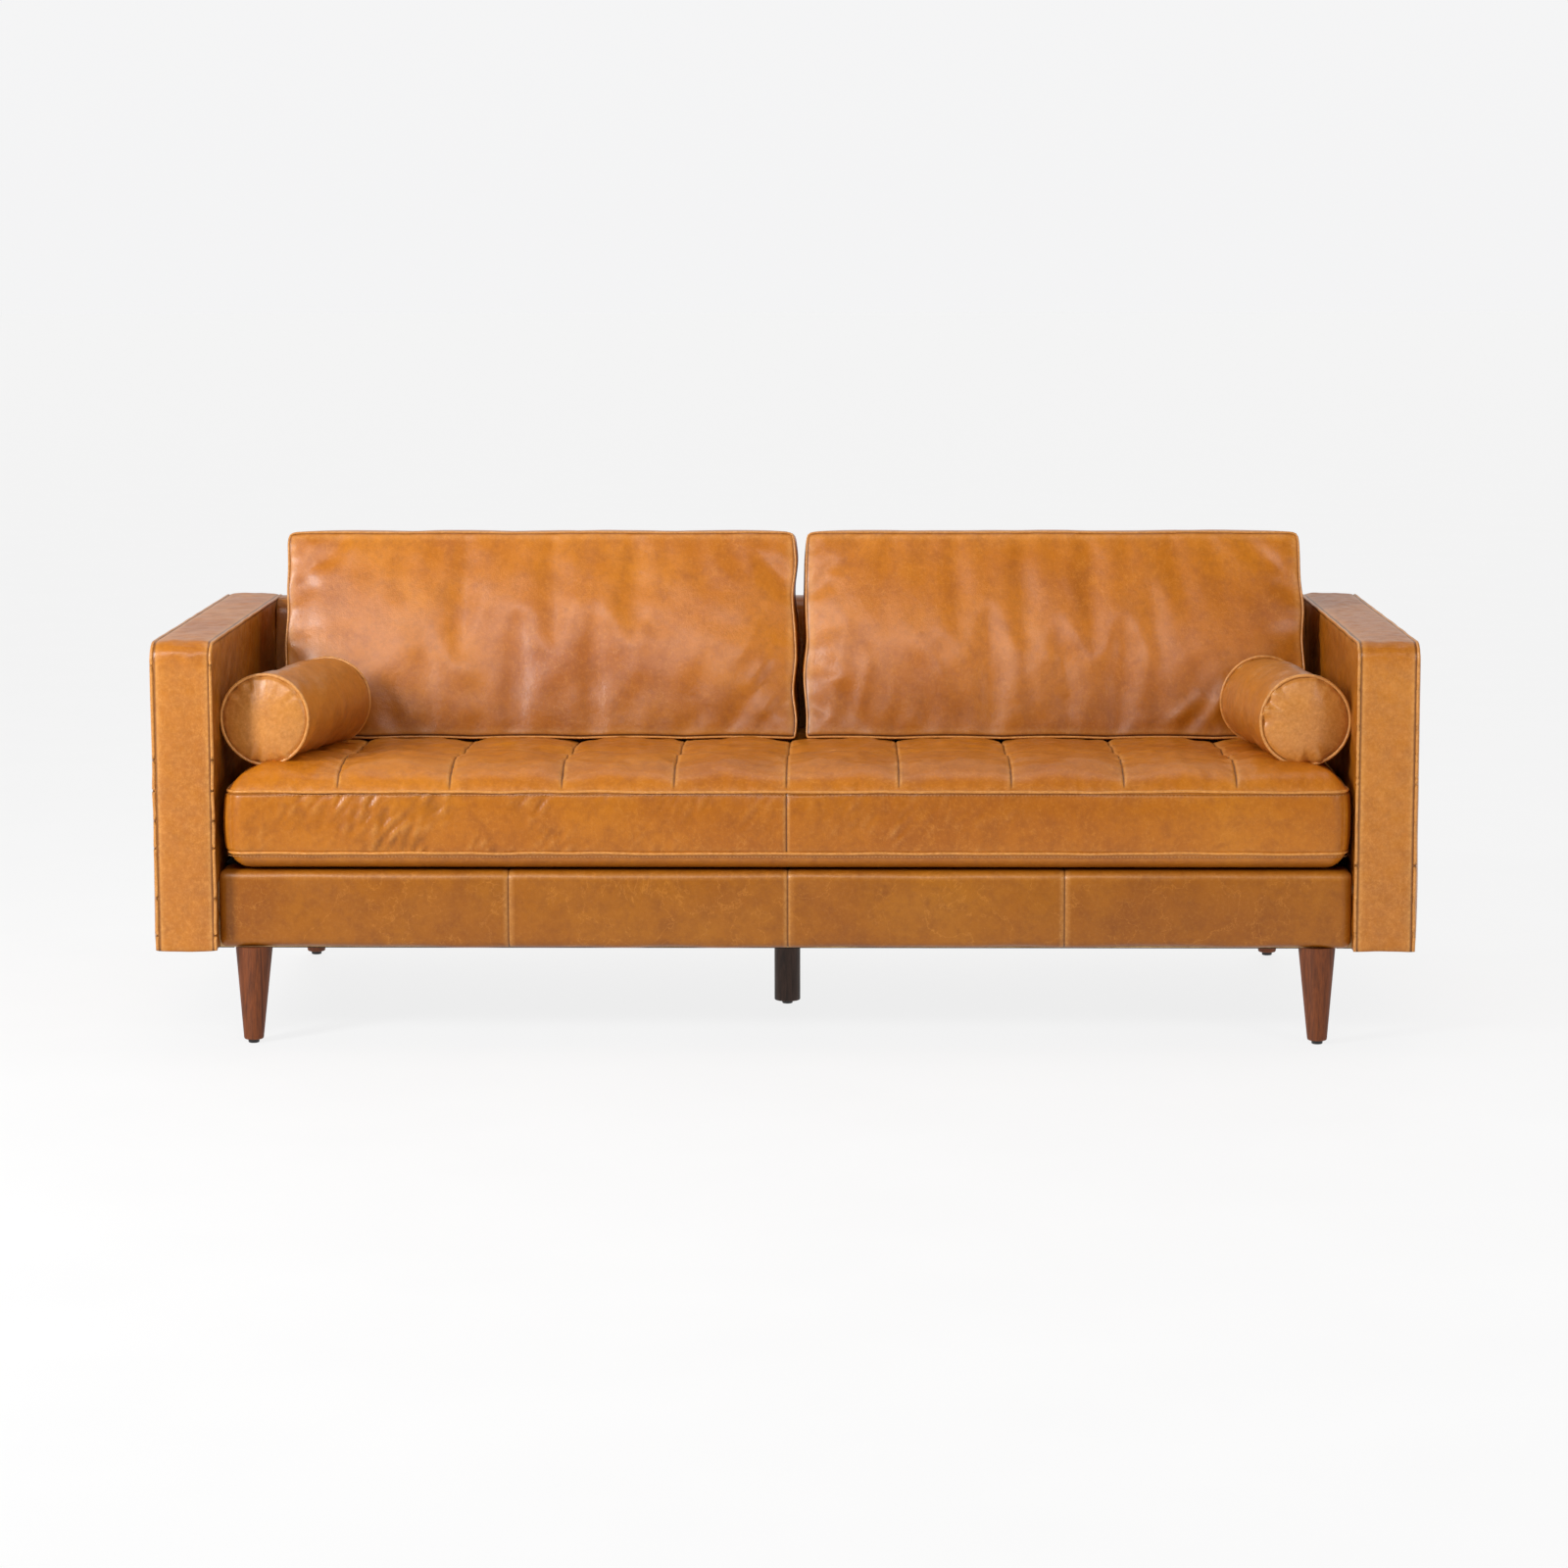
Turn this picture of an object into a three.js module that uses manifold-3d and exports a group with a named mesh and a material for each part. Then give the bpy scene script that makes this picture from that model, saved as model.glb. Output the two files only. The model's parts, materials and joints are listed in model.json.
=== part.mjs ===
// A leather sofa with tapered wooden legs: timber frame, sinuous springs, upholstery and loose cushions.
// Millimetres. X runs left to right, Y from the front to the back and Z up.
// The origin is on the floor, under the middle of the sofa.
import * as THREE from 'three';
import { mergeVertices } from 'three/addons/utils/BufferGeometryUtils.js';
import Module from 'manifold-3d';

const wasm = await Module();
wasm.setup();

// Overall size.
const WIDTH = 2235;
const DEPTH = 960;
const ARM_TOP = 715.6;
const GAP = 0.3; // clearance between pieces that touch
const CUT_BEYOND = 20; // how far a cutting shape runs past the face that it opens

// Timber base frame.
const FRAME_BOTTOM = 171;
const RAIL_TOP = 290;
const RAIL_FRONT = 440; // distance of the front and rear rails' outer faces from the centre
const RAIL_THICK = 45;
const RAIL_INSIDE = RAIL_FRONT - RAIL_THICK;
const SIDE_RAIL_THICK = 40;
const CORNER_BLOCK_LEG = 105;
const CORNER_BLOCK_TIP = 12;
const CORNER_BLOCK_Z = [190, 270];

// Arms: a padded leather sleeve over a timber frame.
const ARM_INNER = 1003;
const ARM_OUTER_WELT = 1108.5;
const ARM_OUTER = WIDTH / 2;
const ARM_CORNER = 30;
const ARM_PANEL_INSET = 12;
const ARM_PANEL_BEVEL = 9;
const ARM_PANEL_ROOT = 1085;
const PADDING = 18;
const ARM_CAVITY_INNER = ARM_INNER + PADDING;
const ARM_CAVITY_OUTER = ARM_OUTER - PADDING;
const ARM_POST_DEEP = 66;
const ARM_TOP_RAIL_THICK = 32;

// Back: a leaning padded cover over shaped uprights.
const BACK_REAR = 478;
const BACK_LEAN = THREE.MathUtils.degToRad(10);
const BACK_FOOT_Y = 312.5; // the inside face at the deck
const BACK_SKIN = 5; // the outside panel's thickness
const BACK_CORNER = 30;
const BACK_HALF_WIDTH = ARM_INNER - GAP;
const BACK_UPRIGHT_THICK = 45;
const BACK_RAIL_HIGH = 34;
const BACK_RAIL_DEEP = 40;
const BACK_RAIL_FRONT = 415;
const BACK_ABOVE_DECK = 2;
const TIMBER_END_CLEARANCE = 2; // between the ends of the back's timbers and the arms

// Seat deck.
const FRONT_COVER_Y = -452;
const FRONT_COVER_TOP = 310;
const FRONT_COVER_LIP = 11;
const FRONT_COVER_REAR = -360;
const DECK_REAR = 300;
const DECK_THICK = 2.5;
const DUST_THICK = 1.3;
const DUST_TOP = FRAME_BOTTOM - 2 * GAP; // just under the covers' lower edges
const DUST_MARGIN = 15; // from the sofa's outer edges

// Sinuous springs.
const SPRING_X = [120, 360, 600, 840];
const SPRING_WIRE = 4;
const SPRING_SWING = 26; // half of a loop's width
const SPRING_LOOPS = 12;
const SPRING_RISE = 12.5;
const SPRING_SIDES = 4;
const SPRING_STEPS_PER_LOOP = 4;

// Legs, glides and hanger bolts.
const LEG_X = 944;
const LEG_FOOT_Y = 447;
const LEG_RAKE = Math.atan2(27, FRAME_BOTTOM);
const LEG_TOP_R = 33;
const LEG_FOOT_R = 17.5;
const LEG_FOOT_ROUND = 3;
const LEG_HOLE_MARGIN = 4; // around each leg in the dust cover
const CENTRE_LEG_Y = -68;
const CENTRE_LEG_R = 24;
const GLIDE_R = 10;
const GLIDE_HIGH = 7;
const GLIDE_ROUND = 1.5;
const NAIL_R = 1.6;
const NAIL_LONG = 14;
const NAIL_POINT = 2;
const BOLT_R = 4;
const BOLT_IN_LEG = 40;
const BOLT_IN_RAIL = 55;

// Loose cushions.
const LEATHER = 3;
const SEAT_CENTRE_X = 3;
const SEAT_WIDTH = 1978;
const SEAT_FRONT = -473;
const SEAT_REAR = 305;
const SEAT_BOTTOM = 311;
const SEAT_CROWN = { y: -370, z: 498 }; // the highest line, just behind the front edge
const SEAT_REST = { y: 60, z: 479 }; // where the back cushions press on it
const SEAT_END_ROUND = 11;
const BACK_CUSHION_WIDTH = 954;
const BACK_CUSHIONS_X = { left: -467, right: 498 };
const BACK_CUSHION_PROFILE = [ // y, z and corner radius, from the lower front edge round by the rear
  [30, 480.4, 40],
  [338, 480.4, 40],
  [372, 700, 60],
  [345, 860, 40],
  [172, 862, 30],
];
const BACK_CUSHION_END_ROUND = 12;
const ZIP_HALF_HIGH = 6;
const ZIP_INSET = 90;
const SEAT_ZIP_Z = 390;
const BACK_CUSHION_ZIP = { y: 352, z: 570 };
const BOLSTER_R = 76;
const BOLSTER_LONG = 392;
const BOLSTER_CROWN = 14;
const BOLSTERS = {
  left: { front: [-920, -403, 578], rear: [-855, -18, 564] },
  right: { front: [920, -395, 578], rear: [885, -5, 564] },
};

const FINISHES = {
  leather: { color: 0xbb7431, roughness: 0.45, metalness: 0 },
  walnut: { color: 0x6d3f29, roughness: 0.45, metalness: 0 },
  darkWood: { color: 0x3a281e, roughness: 0.5, metalness: 0 },
  timber: { color: 0xc9a777, roughness: 0.8, metalness: 0 },
  steel: { color: 0x9a9c9e, roughness: 0.35, metalness: 1 },
  nylon: { color: 0x16151a, roughness: 0.5, metalness: 0 },
  foam: { color: 0xe9dfc4, roughness: 0.95, metalness: 0 },
  cloth: { color: 0x26241f, roughness: 0.95, metalness: 0 },
};

const sofa = new THREE.Group();

function toSolid(geometry) {
  const bare = geometry.clone();
  bare.deleteAttribute('normal');
  bare.deleteAttribute('uv');
  const merged = mergeVertices(bare, 1e-3);
  return new wasm.Manifold(new wasm.Mesh({
    numProp: 3,
    vertProperties: new Float32Array(merged.attributes.position.array),
    triVerts: new Uint32Array(merged.index.array),
  }));
}

function toGeometry(solid) {
  const { vertProperties, triVerts } = solid.getMesh();
  const geometry = new THREE.BufferGeometry();
  geometry.setAttribute('position', new THREE.BufferAttribute(vertProperties, 3));
  geometry.setIndex(new THREE.BufferAttribute(triVerts, 1));
  geometry.computeVertexNormals();
  return geometry;
}

// The first geometry with the others taken away.
function cut(geometry, ...tools) {
  return toGeometry(tools.reduce((solid, tool) => solid.subtract(toSolid(tool)), toSolid(geometry)));
}

function add(name, geometry, finish, parent = sofa) {
  const mesh = new THREE.Mesh(geometry, new THREE.MeshStandardMaterial(FINISHES[finish]));
  mesh.name = name;
  parent.add(mesh);
}

function box([x0, x1], [y0, y1], [z0, z1]) {
  const geometry = new THREE.BoxGeometry(x1 - x0, y1 - y0, z1 - z0);
  return geometry.translate((x0 + x1) / 2, (y0 + y1) / 2, (z0 + z1) / 2);
}

// The range from near to far on one side of the middle: side is -1 on the left and 1 on the right.
function span(side, near, far) {
  return side < 0 ? [-far, -near] : [near, far];
}

// A closed outline through [y, z, corner radius] points, with each corner rounded by a curve.
function outline(points) {
  const shape = new THREE.Shape();
  points.forEach(([y, z, radius = 0], i) => {
    const corner = new THREE.Vector2(y, z);
    const [before, after] = [-1, 1].map((step) => {
      const [otherY, otherZ] = points[(i + step + points.length) % points.length];
      const way = new THREE.Vector2(otherY, otherZ).sub(corner).normalize();
      return corner.clone().addScaledVector(way, radius);
    });
    if (i === 0) {
      shape.moveTo(before.x, before.y);
    } else {
      shape.lineTo(before.x, before.y);
    }
    if (radius > 0) {
      shape.quadraticCurveTo(corner.x, corner.y, after.x, after.y);
    }
  });
  return shape;
}

// An outline in the YZ plane, extruded along X; round pulls in the edges at both ends.
function alongX(shape, [x0, x1], round = 0) {
  const geometry = new THREE.ExtrudeGeometry(shape, {
    depth: x1 - x0 - 2 * round,
    curveSegments: 5,
    bevelEnabled: round > 0,
    bevelThickness: round,
    bevelSize: round,
    bevelOffset: -round,
    bevelSegments: 3,
  });
  geometry.translate(0, 0, x0 + round);
  const axes = new THREE.Matrix4().makeBasis(
    new THREE.Vector3(0, 1, 0),
    new THREE.Vector3(0, 0, 1),
    new THREE.Vector3(1, 0, 0),
  );
  return geometry.applyMatrix4(axes);
}

// The same shape, smaller by a margin on every side of its bounding box.
function shrink(geometry, margin) {
  const smaller = geometry.clone();
  smaller.computeBoundingBox();
  const size = smaller.boundingBox.getSize(new THREE.Vector3());
  const centre = smaller.boundingBox.getCenter(new THREE.Vector3());
  smaller.translate(-centre.x, -centre.y, -centre.z);
  smaller.scale(1 - 2 * margin / size.x, 1 - 2 * margin / size.y, 1 - 2 * margin / size.z);
  return smaller.translate(centre.x, centre.y, centre.z);
}

// ---- Legs ----

// A leg's own frame has its foot centre at the origin; turning it by this matrix rakes the foot to the front.
function rake() {
  return new THREE.Matrix4().makeRotationX(-LEG_RAKE);
}

// A hanger bolt upright on a leg's axis, with its leg's top at that height, or the hole for it.
function bolt(legTop, margin) {
  const radius = BOLT_R + margin;
  const rod = new THREE.CylinderGeometry(radius, radius, BOLT_IN_LEG + BOLT_IN_RAIL + 2 * margin, 16);
  return rod.rotateX(Math.PI / 2).translate(0, 0, legTop + (BOLT_IN_RAIL - BOLT_IN_LEG) / 2);
}

function rakedBolt(margin) {
  return bolt(FRAME_BOTTOM / Math.cos(LEG_RAKE), margin).applyMatrix4(rake());
}

function straightBolt(margin) {
  return bolt(FRAME_BOTTOM, margin);
}

function nailHole() {
  const radius = NAIL_R + GAP;
  const hole = new THREE.CylinderGeometry(radius, radius, NAIL_LONG + NAIL_POINT, 12);
  return hole.rotateX(Math.PI / 2).translate(0, 0, GLIDE_HIGH + NAIL_LONG / 2);
}

// A raked cone, longer than the leg at both ends, cut level at the foot and at the frame.
function taperedLeg() {
  const widening = CUT_BEYOND * (LEG_TOP_R - LEG_FOOT_R) / FRAME_BOTTOM;
  const profile = [
    new THREE.Vector2(0, -CUT_BEYOND),
    new THREE.Vector2(LEG_FOOT_R - widening, -CUT_BEYOND),
    new THREE.Vector2(LEG_TOP_R + widening, FRAME_BOTTOM + CUT_BEYOND),
    new THREE.Vector2(0, FRAME_BOTTOM + CUT_BEYOND),
  ];
  const turned = new THREE.LatheGeometry(profile, 36).rotateX(Math.PI / 2).applyMatrix4(rake());
  const around = [-3 * LEG_TOP_R, 3 * LEG_TOP_R];
  const level = box(around, around, [GLIDE_HIGH + GAP, FRAME_BOTTOM - GAP]);
  const leg = toSolid(turned).intersect(toSolid(level));
  return toGeometry(leg.subtract(toSolid(rakedBolt(GAP))).subtract(toSolid(nailHole())));
}

function straightLeg() {
  const profile = [
    new THREE.Vector2(0, GLIDE_HIGH + GAP),
    new THREE.Vector2(CENTRE_LEG_R - LEG_FOOT_ROUND, GLIDE_HIGH + GAP),
    new THREE.Vector2(CENTRE_LEG_R, GLIDE_HIGH + GAP + LEG_FOOT_ROUND),
    new THREE.Vector2(CENTRE_LEG_R, FRAME_BOTTOM - GAP),
    new THREE.Vector2(0, FRAME_BOTTOM - GAP),
  ];
  const leg = new THREE.LatheGeometry(profile, 36).rotateX(Math.PI / 2);
  return cut(leg, straightBolt(GAP), nailHole());
}

function glide() {
  const profile = [
    new THREE.Vector2(0, 0),
    new THREE.Vector2(GLIDE_R - GLIDE_ROUND, 0),
    new THREE.Vector2(GLIDE_R, GLIDE_ROUND),
    new THREE.Vector2(GLIDE_R, GLIDE_HIGH),
    new THREE.Vector2(NAIL_R, GLIDE_HIGH),
    new THREE.Vector2(NAIL_R, GLIDE_HIGH + NAIL_LONG - NAIL_POINT),
    new THREE.Vector2(0, GLIDE_HIGH + NAIL_LONG),
  ];
  return new THREE.LatheGeometry(profile, 24).rotateX(Math.PI / 2);
}

const CORNERS = [
  { place: 'front_left', side: -1, end: -1 },
  { place: 'front_right', side: 1, end: -1 },
  { place: 'rear_left', side: -1, end: 1 },
  { place: 'rear_right', side: 1, end: 1 },
];

// Where a corner leg stands: a rear leg is turned half round, so that its foot is splayed to the rear.
function legPlace({ side, end }) {
  const turn = new THREE.Matrix4().makeRotationZ(end > 0 ? Math.PI : 0);
  return new THREE.Matrix4().makeTranslation(side * LEG_X, end * LEG_FOOT_Y, 0).multiply(turn);
}

function addLegs() {
  for (const corner of CORNERS) {
    const group = new THREE.Group();
    group.applyMatrix4(legPlace(corner));
    sofa.add(group);
    add(`leg_${corner.place}`, taperedLeg(), 'walnut', group);
    add(`leg_bolt_${corner.place}`, rakedBolt(0), 'steel', group);
    add(`glide_${corner.place}`, glide(), 'nylon', group);
  }
  const group = new THREE.Group();
  group.position.set(0, CENTRE_LEG_Y, 0);
  sofa.add(group);
  add('leg_centre', straightLeg(), 'darkWood', group);
  add('leg_bolt_centre', straightBolt(0), 'steel', group);
  add('glide_centre', glide(), 'nylon', group);
}

// ---- Base frame ----

function crossRail(end) {
  const reach = ARM_CAVITY_INNER + GAP;
  const rail = box([-reach, reach], span(end, RAIL_INSIDE, RAIL_FRONT), [FRAME_BOTTOM, RAIL_TOP]);
  const holes = CORNERS.filter((corner) => corner.end === end)
    .map((corner) => rakedBolt(GAP).applyMatrix4(legPlace(corner)));
  return cut(rail, ...holes);
}

function cornerBlock({ side, end }) {
  const x = side * (ARM_CAVITY_INNER - GAP);
  const y = end * (RAIL_INSIDE - GAP);
  const shape = new THREE.Shape();
  shape.moveTo(x, y);
  shape.lineTo(x - side * CORNER_BLOCK_LEG, y);
  shape.lineTo(x - side * CORNER_BLOCK_LEG, y - end * CORNER_BLOCK_TIP);
  shape.lineTo(x - side * CORNER_BLOCK_TIP, y - end * CORNER_BLOCK_LEG);
  shape.lineTo(x, y - end * CORNER_BLOCK_LEG);
  const [bottom, top] = CORNER_BLOCK_Z;
  const block = new THREE.ExtrudeGeometry(shape, { depth: top - bottom, bevelEnabled: false });
  return block.translate(0, 0, bottom);
}

function addBase() {
  add('rail_front', crossRail(-1), 'timber');
  add('rail_rear', crossRail(1), 'timber');
  const inside = RAIL_INSIDE - GAP;
  for (const [place, side] of [['left', -1], ['right', 1]]) {
    const near = ARM_CAVITY_INNER + 2 * GAP;
    const rail = box(span(side, near, near + SIDE_RAIL_THICK), [-inside, inside], [FRAME_BOTTOM, RAIL_TOP]);
    add(`rail_side_${place}`, rail, 'timber');
  }
  const half = RAIL_THICK / 2;
  const centre = box([-half, half], [-inside, inside], [FRAME_BOTTOM, RAIL_TOP - GAP]);
  add('rail_centre', cut(centre, straightBolt(GAP).translate(0, CENTRE_LEG_Y, 0)), 'timber');
  for (const corner of CORNERS) {
    add(`corner_block_${corner.place}`, cornerBlock(corner), 'timber');
  }
}

// ---- Springs and cloths ----

// A wire that zigzags in X as it runs from the front rail to the rear one, bowed up in the middle.
class SinuousCurve extends THREE.Curve {
  getPoint(t, target = new THREE.Vector3()) {
    const end = RAIL_FRONT - RAIL_THICK / 2;
    const swing = Math.sin(2 * Math.PI * SPRING_LOOPS * t / 2);
    const low = RAIL_TOP + GAP + SPRING_WIRE / 2;
    return target.set(
      SPRING_SWING * Math.sign(swing) * Math.sqrt(Math.abs(swing)),
      THREE.MathUtils.lerp(-end, end, t),
      low + SPRING_RISE * Math.sin(Math.PI * t),
    );
  }
}

function springWire() {
  const section = new THREE.Shape();
  for (let i = 0; i < SPRING_SIDES; i += 1) {
    const angle = 2 * Math.PI * (i + 0.5) / SPRING_SIDES;
    const radius = SPRING_WIRE / 2;
    section.lineTo(radius * Math.cos(angle), radius * Math.sin(angle));
  }
  return new THREE.ExtrudeGeometry(section, {
    steps: SPRING_LOOPS * SPRING_STEPS_PER_LOOP,
    extrudePath: new SinuousCurve(),
  });
}

function addSuspension() {
  for (const [place, side] of [['left', -1], ['right', 1]]) {
    SPRING_X.forEach((x, i) => {
      add(`seat_spring_${place}_${i + 1}`, springWire().translate(side * x, 0, 0), 'steel');
    });
  }
  const half = ARM_INNER - TIMBER_END_CLEARANCE;
  const deckZ = [FRONT_COVER_TOP - DECK_THICK, FRONT_COVER_TOP];
  const deck = box([-half, half], [FRONT_COVER_REAR + GAP, DECK_REAR], deckZ);
  add('deck_cloth', deck, 'cloth');
  const dustX = WIDTH / 2 - DUST_MARGIN;
  const dustY = [FRONT_COVER_Y + DUST_MARGIN, BACK_REAR - DUST_MARGIN];
  const sheet = box([-dustX, dustX], dustY, [DUST_TOP - DUST_THICK, DUST_TOP]);
  const legTopY = LEG_FOOT_Y - FRAME_BOTTOM * Math.tan(LEG_RAKE);
  const holes = CORNERS.map(({ side, end }) => legHole(LEG_TOP_R, side * LEG_X, end * legTopY));
  add('dust_cover', cut(sheet, ...holes, legHole(CENTRE_LEG_R, 0, CENTRE_LEG_Y)), 'cloth');
}

function legHole(legRadius, x, y) {
  const radius = legRadius + LEG_HOLE_MARGIN;
  const hole = new THREE.CylinderGeometry(radius, radius, CUT_BEYOND, 24);
  return hole.rotateX(Math.PI / 2).translate(x, y, FRAME_BOTTOM);
}

// ---- Arms ----

function armOutline(inset, top, bottom, corner) {
  const half = DEPTH / 2 - inset;
  return outline([[-half, bottom], [half, bottom], [half, top, corner], [-half, top, corner]]);
}

function armCover(side) {
  const bottom = FRAME_BOTTOM - GAP;
  const sleeve = alongX(armOutline(0, ARM_TOP, bottom, ARM_CORNER), span(side, ARM_INNER, ARM_OUTER_WELT));
  const margin = ARM_PANEL_INSET - ARM_PANEL_BEVEL;
  const panelShape = armOutline(margin, ARM_TOP - margin, bottom + 1, ARM_CORNER);
  const panel = alongX(panelShape, span(side, ARM_PANEL_ROOT, ARM_OUTER), ARM_PANEL_BEVEL);
  const cavityShape = armOutline(PADDING, ARM_TOP - PADDING, bottom - CUT_BEYOND, ARM_CORNER - PADDING / 2);
  const cavity = alongX(cavityShape, span(side, ARM_CAVITY_INNER, ARM_CAVITY_OUTER));
  const railWindow = box(
    span(side, ARM_INNER - 1, ARM_CAVITY_INNER + 1),
    [-RAIL_FRONT - GAP, RAIL_FRONT + GAP],
    [bottom - CUT_BEYOND, RAIL_TOP + GAP],
  );
  const cover = toSolid(sleeve).add(toSolid(panel)).subtract(toSolid(cavity)).subtract(toSolid(railWindow));
  return toGeometry(cover);
}

function addArms() {
  const x = [ARM_CAVITY_INNER + 2 * GAP, ARM_CAVITY_OUTER - GAP];
  const outer = DEPTH / 2 - PADDING - GAP;
  const inner = outer - ARM_POST_DEEP;
  const railTop = ARM_TOP - PADDING - GAP;
  const postTop = railTop - ARM_TOP_RAIL_THICK - GAP;
  for (const [place, side] of [['left', -1], ['right', 1]]) {
    add(`arm_cover_${place}`, armCover(side), 'leather');
    for (const [name, end] of [['front', -1], ['rear', 1]]) {
      const post = box(span(side, ...x), span(end, inner, outer), [FRAME_BOTTOM, postTop]);
      add(`arm_post_${name}_${place}`, post, 'timber');
    }
    const reach = outer - ARM_CORNER;
    add(`arm_rail_top_${place}`, box(span(side, ...x), [-reach, reach], [postTop + GAP, railTop]), 'timber');
  }
}

// ---- Back ----

function insideBack(z) {
  return BACK_FOOT_Y + (z - FRONT_COVER_TOP) * Math.tan(BACK_LEAN);
}

function backCover() {
  const foot = FRONT_COVER_TOP + BACK_ABOVE_DECK;
  const pad = PADDING / Math.cos(BACK_LEAN);
  const top = ARM_TOP - PADDING;
  const bottom = FRAME_BOTTOM - GAP;
  const shape = outline([
    [BACK_REAR, bottom],
    [BACK_REAR, ARM_TOP, BACK_CORNER],
    [insideBack(ARM_TOP), ARM_TOP, BACK_CORNER],
    [insideBack(foot), foot, 3],
    [insideBack(foot) + pad, foot],
    [insideBack(top) + pad, top, BACK_CORNER / 2],
    [BACK_REAR - BACK_SKIN, top, BACK_CORNER / 2],
    [BACK_REAR - BACK_SKIN, bottom],
  ]);
  return alongX(shape, [-BACK_HALF_WIDTH, BACK_HALF_WIDTH]);
}

function backUpright(x) {
  const bottom = RAIL_TOP + GAP;
  const top = ARM_TOP - PADDING - 2 * GAP - BACK_RAIL_HIGH;
  const pad = PADDING / Math.cos(BACK_LEAN) + 2 * GAP;
  const rear = BACK_REAR - BACK_SKIN - GAP;
  const shape = outline([
    [rear, bottom],
    [rear, top],
    [insideBack(top) + pad, top],
    [insideBack(bottom) + pad, bottom],
  ]);
  return alongX(shape, [x - BACK_UPRIGHT_THICK / 2, x + BACK_UPRIGHT_THICK / 2]);
}

function addBack() {
  add('back_cover', backCover(), 'leather');
  const outerX = ARM_INNER - TIMBER_END_CLEARANCE - BACK_UPRIGHT_THICK / 2;
  for (const [place, x] of [['left', -outerX], ['centre', 0], ['right', outerX]]) {
    add(`back_upright_${place}`, backUpright(x), 'timber');
  }
  const top = ARM_TOP - PADDING - GAP;
  const rail = box(
    [TIMBER_END_CLEARANCE - ARM_INNER, ARM_INNER - TIMBER_END_CLEARANCE],
    [BACK_RAIL_FRONT, BACK_RAIL_FRONT + BACK_RAIL_DEEP],
    [top - BACK_RAIL_HIGH, top],
  );
  add('back_rail_top', rail, 'timber');
}

function addFrontCover() {
  const inner = -RAIL_FRONT - GAP;
  const shape = outline([
    [FRONT_COVER_Y, FRAME_BOTTOM - GAP],
    [inner, FRAME_BOTTOM - GAP],
    [inner, FRONT_COVER_TOP - FRONT_COVER_LIP],
    [FRONT_COVER_REAR, FRONT_COVER_TOP - FRONT_COVER_LIP],
    [FRONT_COVER_REAR, FRONT_COVER_TOP],
    [FRONT_COVER_Y, FRONT_COVER_TOP, 12],
  ]);
  add('front_rail_cover', alongX(shape, [-BACK_HALF_WIDTH, BACK_HALF_WIDTH]), 'leather');
}

// ---- Loose cushions ----

// A leather skin around a core, open at the zip in its rear face.
function addCushion(name, outer, zip) {
  add(`${name}_cover`, cut(outer, shrink(outer, LEATHER), zip), 'leather');
  add(`${name}_core`, shrink(outer, LEATHER + GAP), 'foam');
}

function zipSlot([x0, x1], y, z) {
  const deep = 4 * LEATHER;
  return box([x0 + ZIP_INSET, x1 - ZIP_INSET], [y - deep, y + deep], [z - ZIP_HALF_HIGH, z + ZIP_HALF_HIGH]);
}

// The bench cushion is highest just behind its front edge and lies flatter under the back cushions.
function seatProfile() {
  const shape = new THREE.Shape();
  shape.moveTo(SEAT_FRONT + 18, SEAT_BOTTOM);
  shape.quadraticCurveTo(SEAT_FRONT, SEAT_BOTTOM, SEAT_FRONT, SEAT_BOTTOM + 25);
  shape.lineTo(SEAT_FRONT, SEAT_CROWN.z - 56);
  const { y, z } = SEAT_CROWN;
  shape.bezierCurveTo(SEAT_FRONT, z - 18, y - 70, z, y, z);
  shape.bezierCurveTo(y + 170, z, SEAT_REST.y - 160, SEAT_REST.z + 1, SEAT_REST.y, SEAT_REST.z);
  shape.lineTo(SEAT_REAR - 21, SEAT_REST.z - 2);
  shape.quadraticCurveTo(SEAT_REAR + 1, SEAT_REST.z - 2, SEAT_REAR, SEAT_REST.z - 29);
  shape.lineTo(SEAT_REAR - 2, SEAT_BOTTOM + 21);
  shape.quadraticCurveTo(SEAT_REAR - 2, SEAT_BOTTOM, SEAT_REAR - 20, SEAT_BOTTOM);
  return shape;
}

function addSeatCushion() {
  const half = SEAT_WIDTH / 2;
  const x = [SEAT_CENTRE_X - half, SEAT_CENTRE_X + half];
  addCushion('seat_cushion', alongX(seatProfile(), x, SEAT_END_ROUND), zipSlot(x, SEAT_REAR, SEAT_ZIP_Z));
}

function addBackCushion(place) {
  const half = BACK_CUSHION_WIDTH / 2;
  const x = [BACK_CUSHIONS_X[place] - half, BACK_CUSHIONS_X[place] + half];
  const outer = alongX(outline(BACK_CUSHION_PROFILE), x, BACK_CUSHION_END_ROUND);
  addCushion(`back_cushion_${place}`, outer, zipSlot(x, BACK_CUSHION_ZIP.y, BACK_CUSHION_ZIP.z));
}

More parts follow.
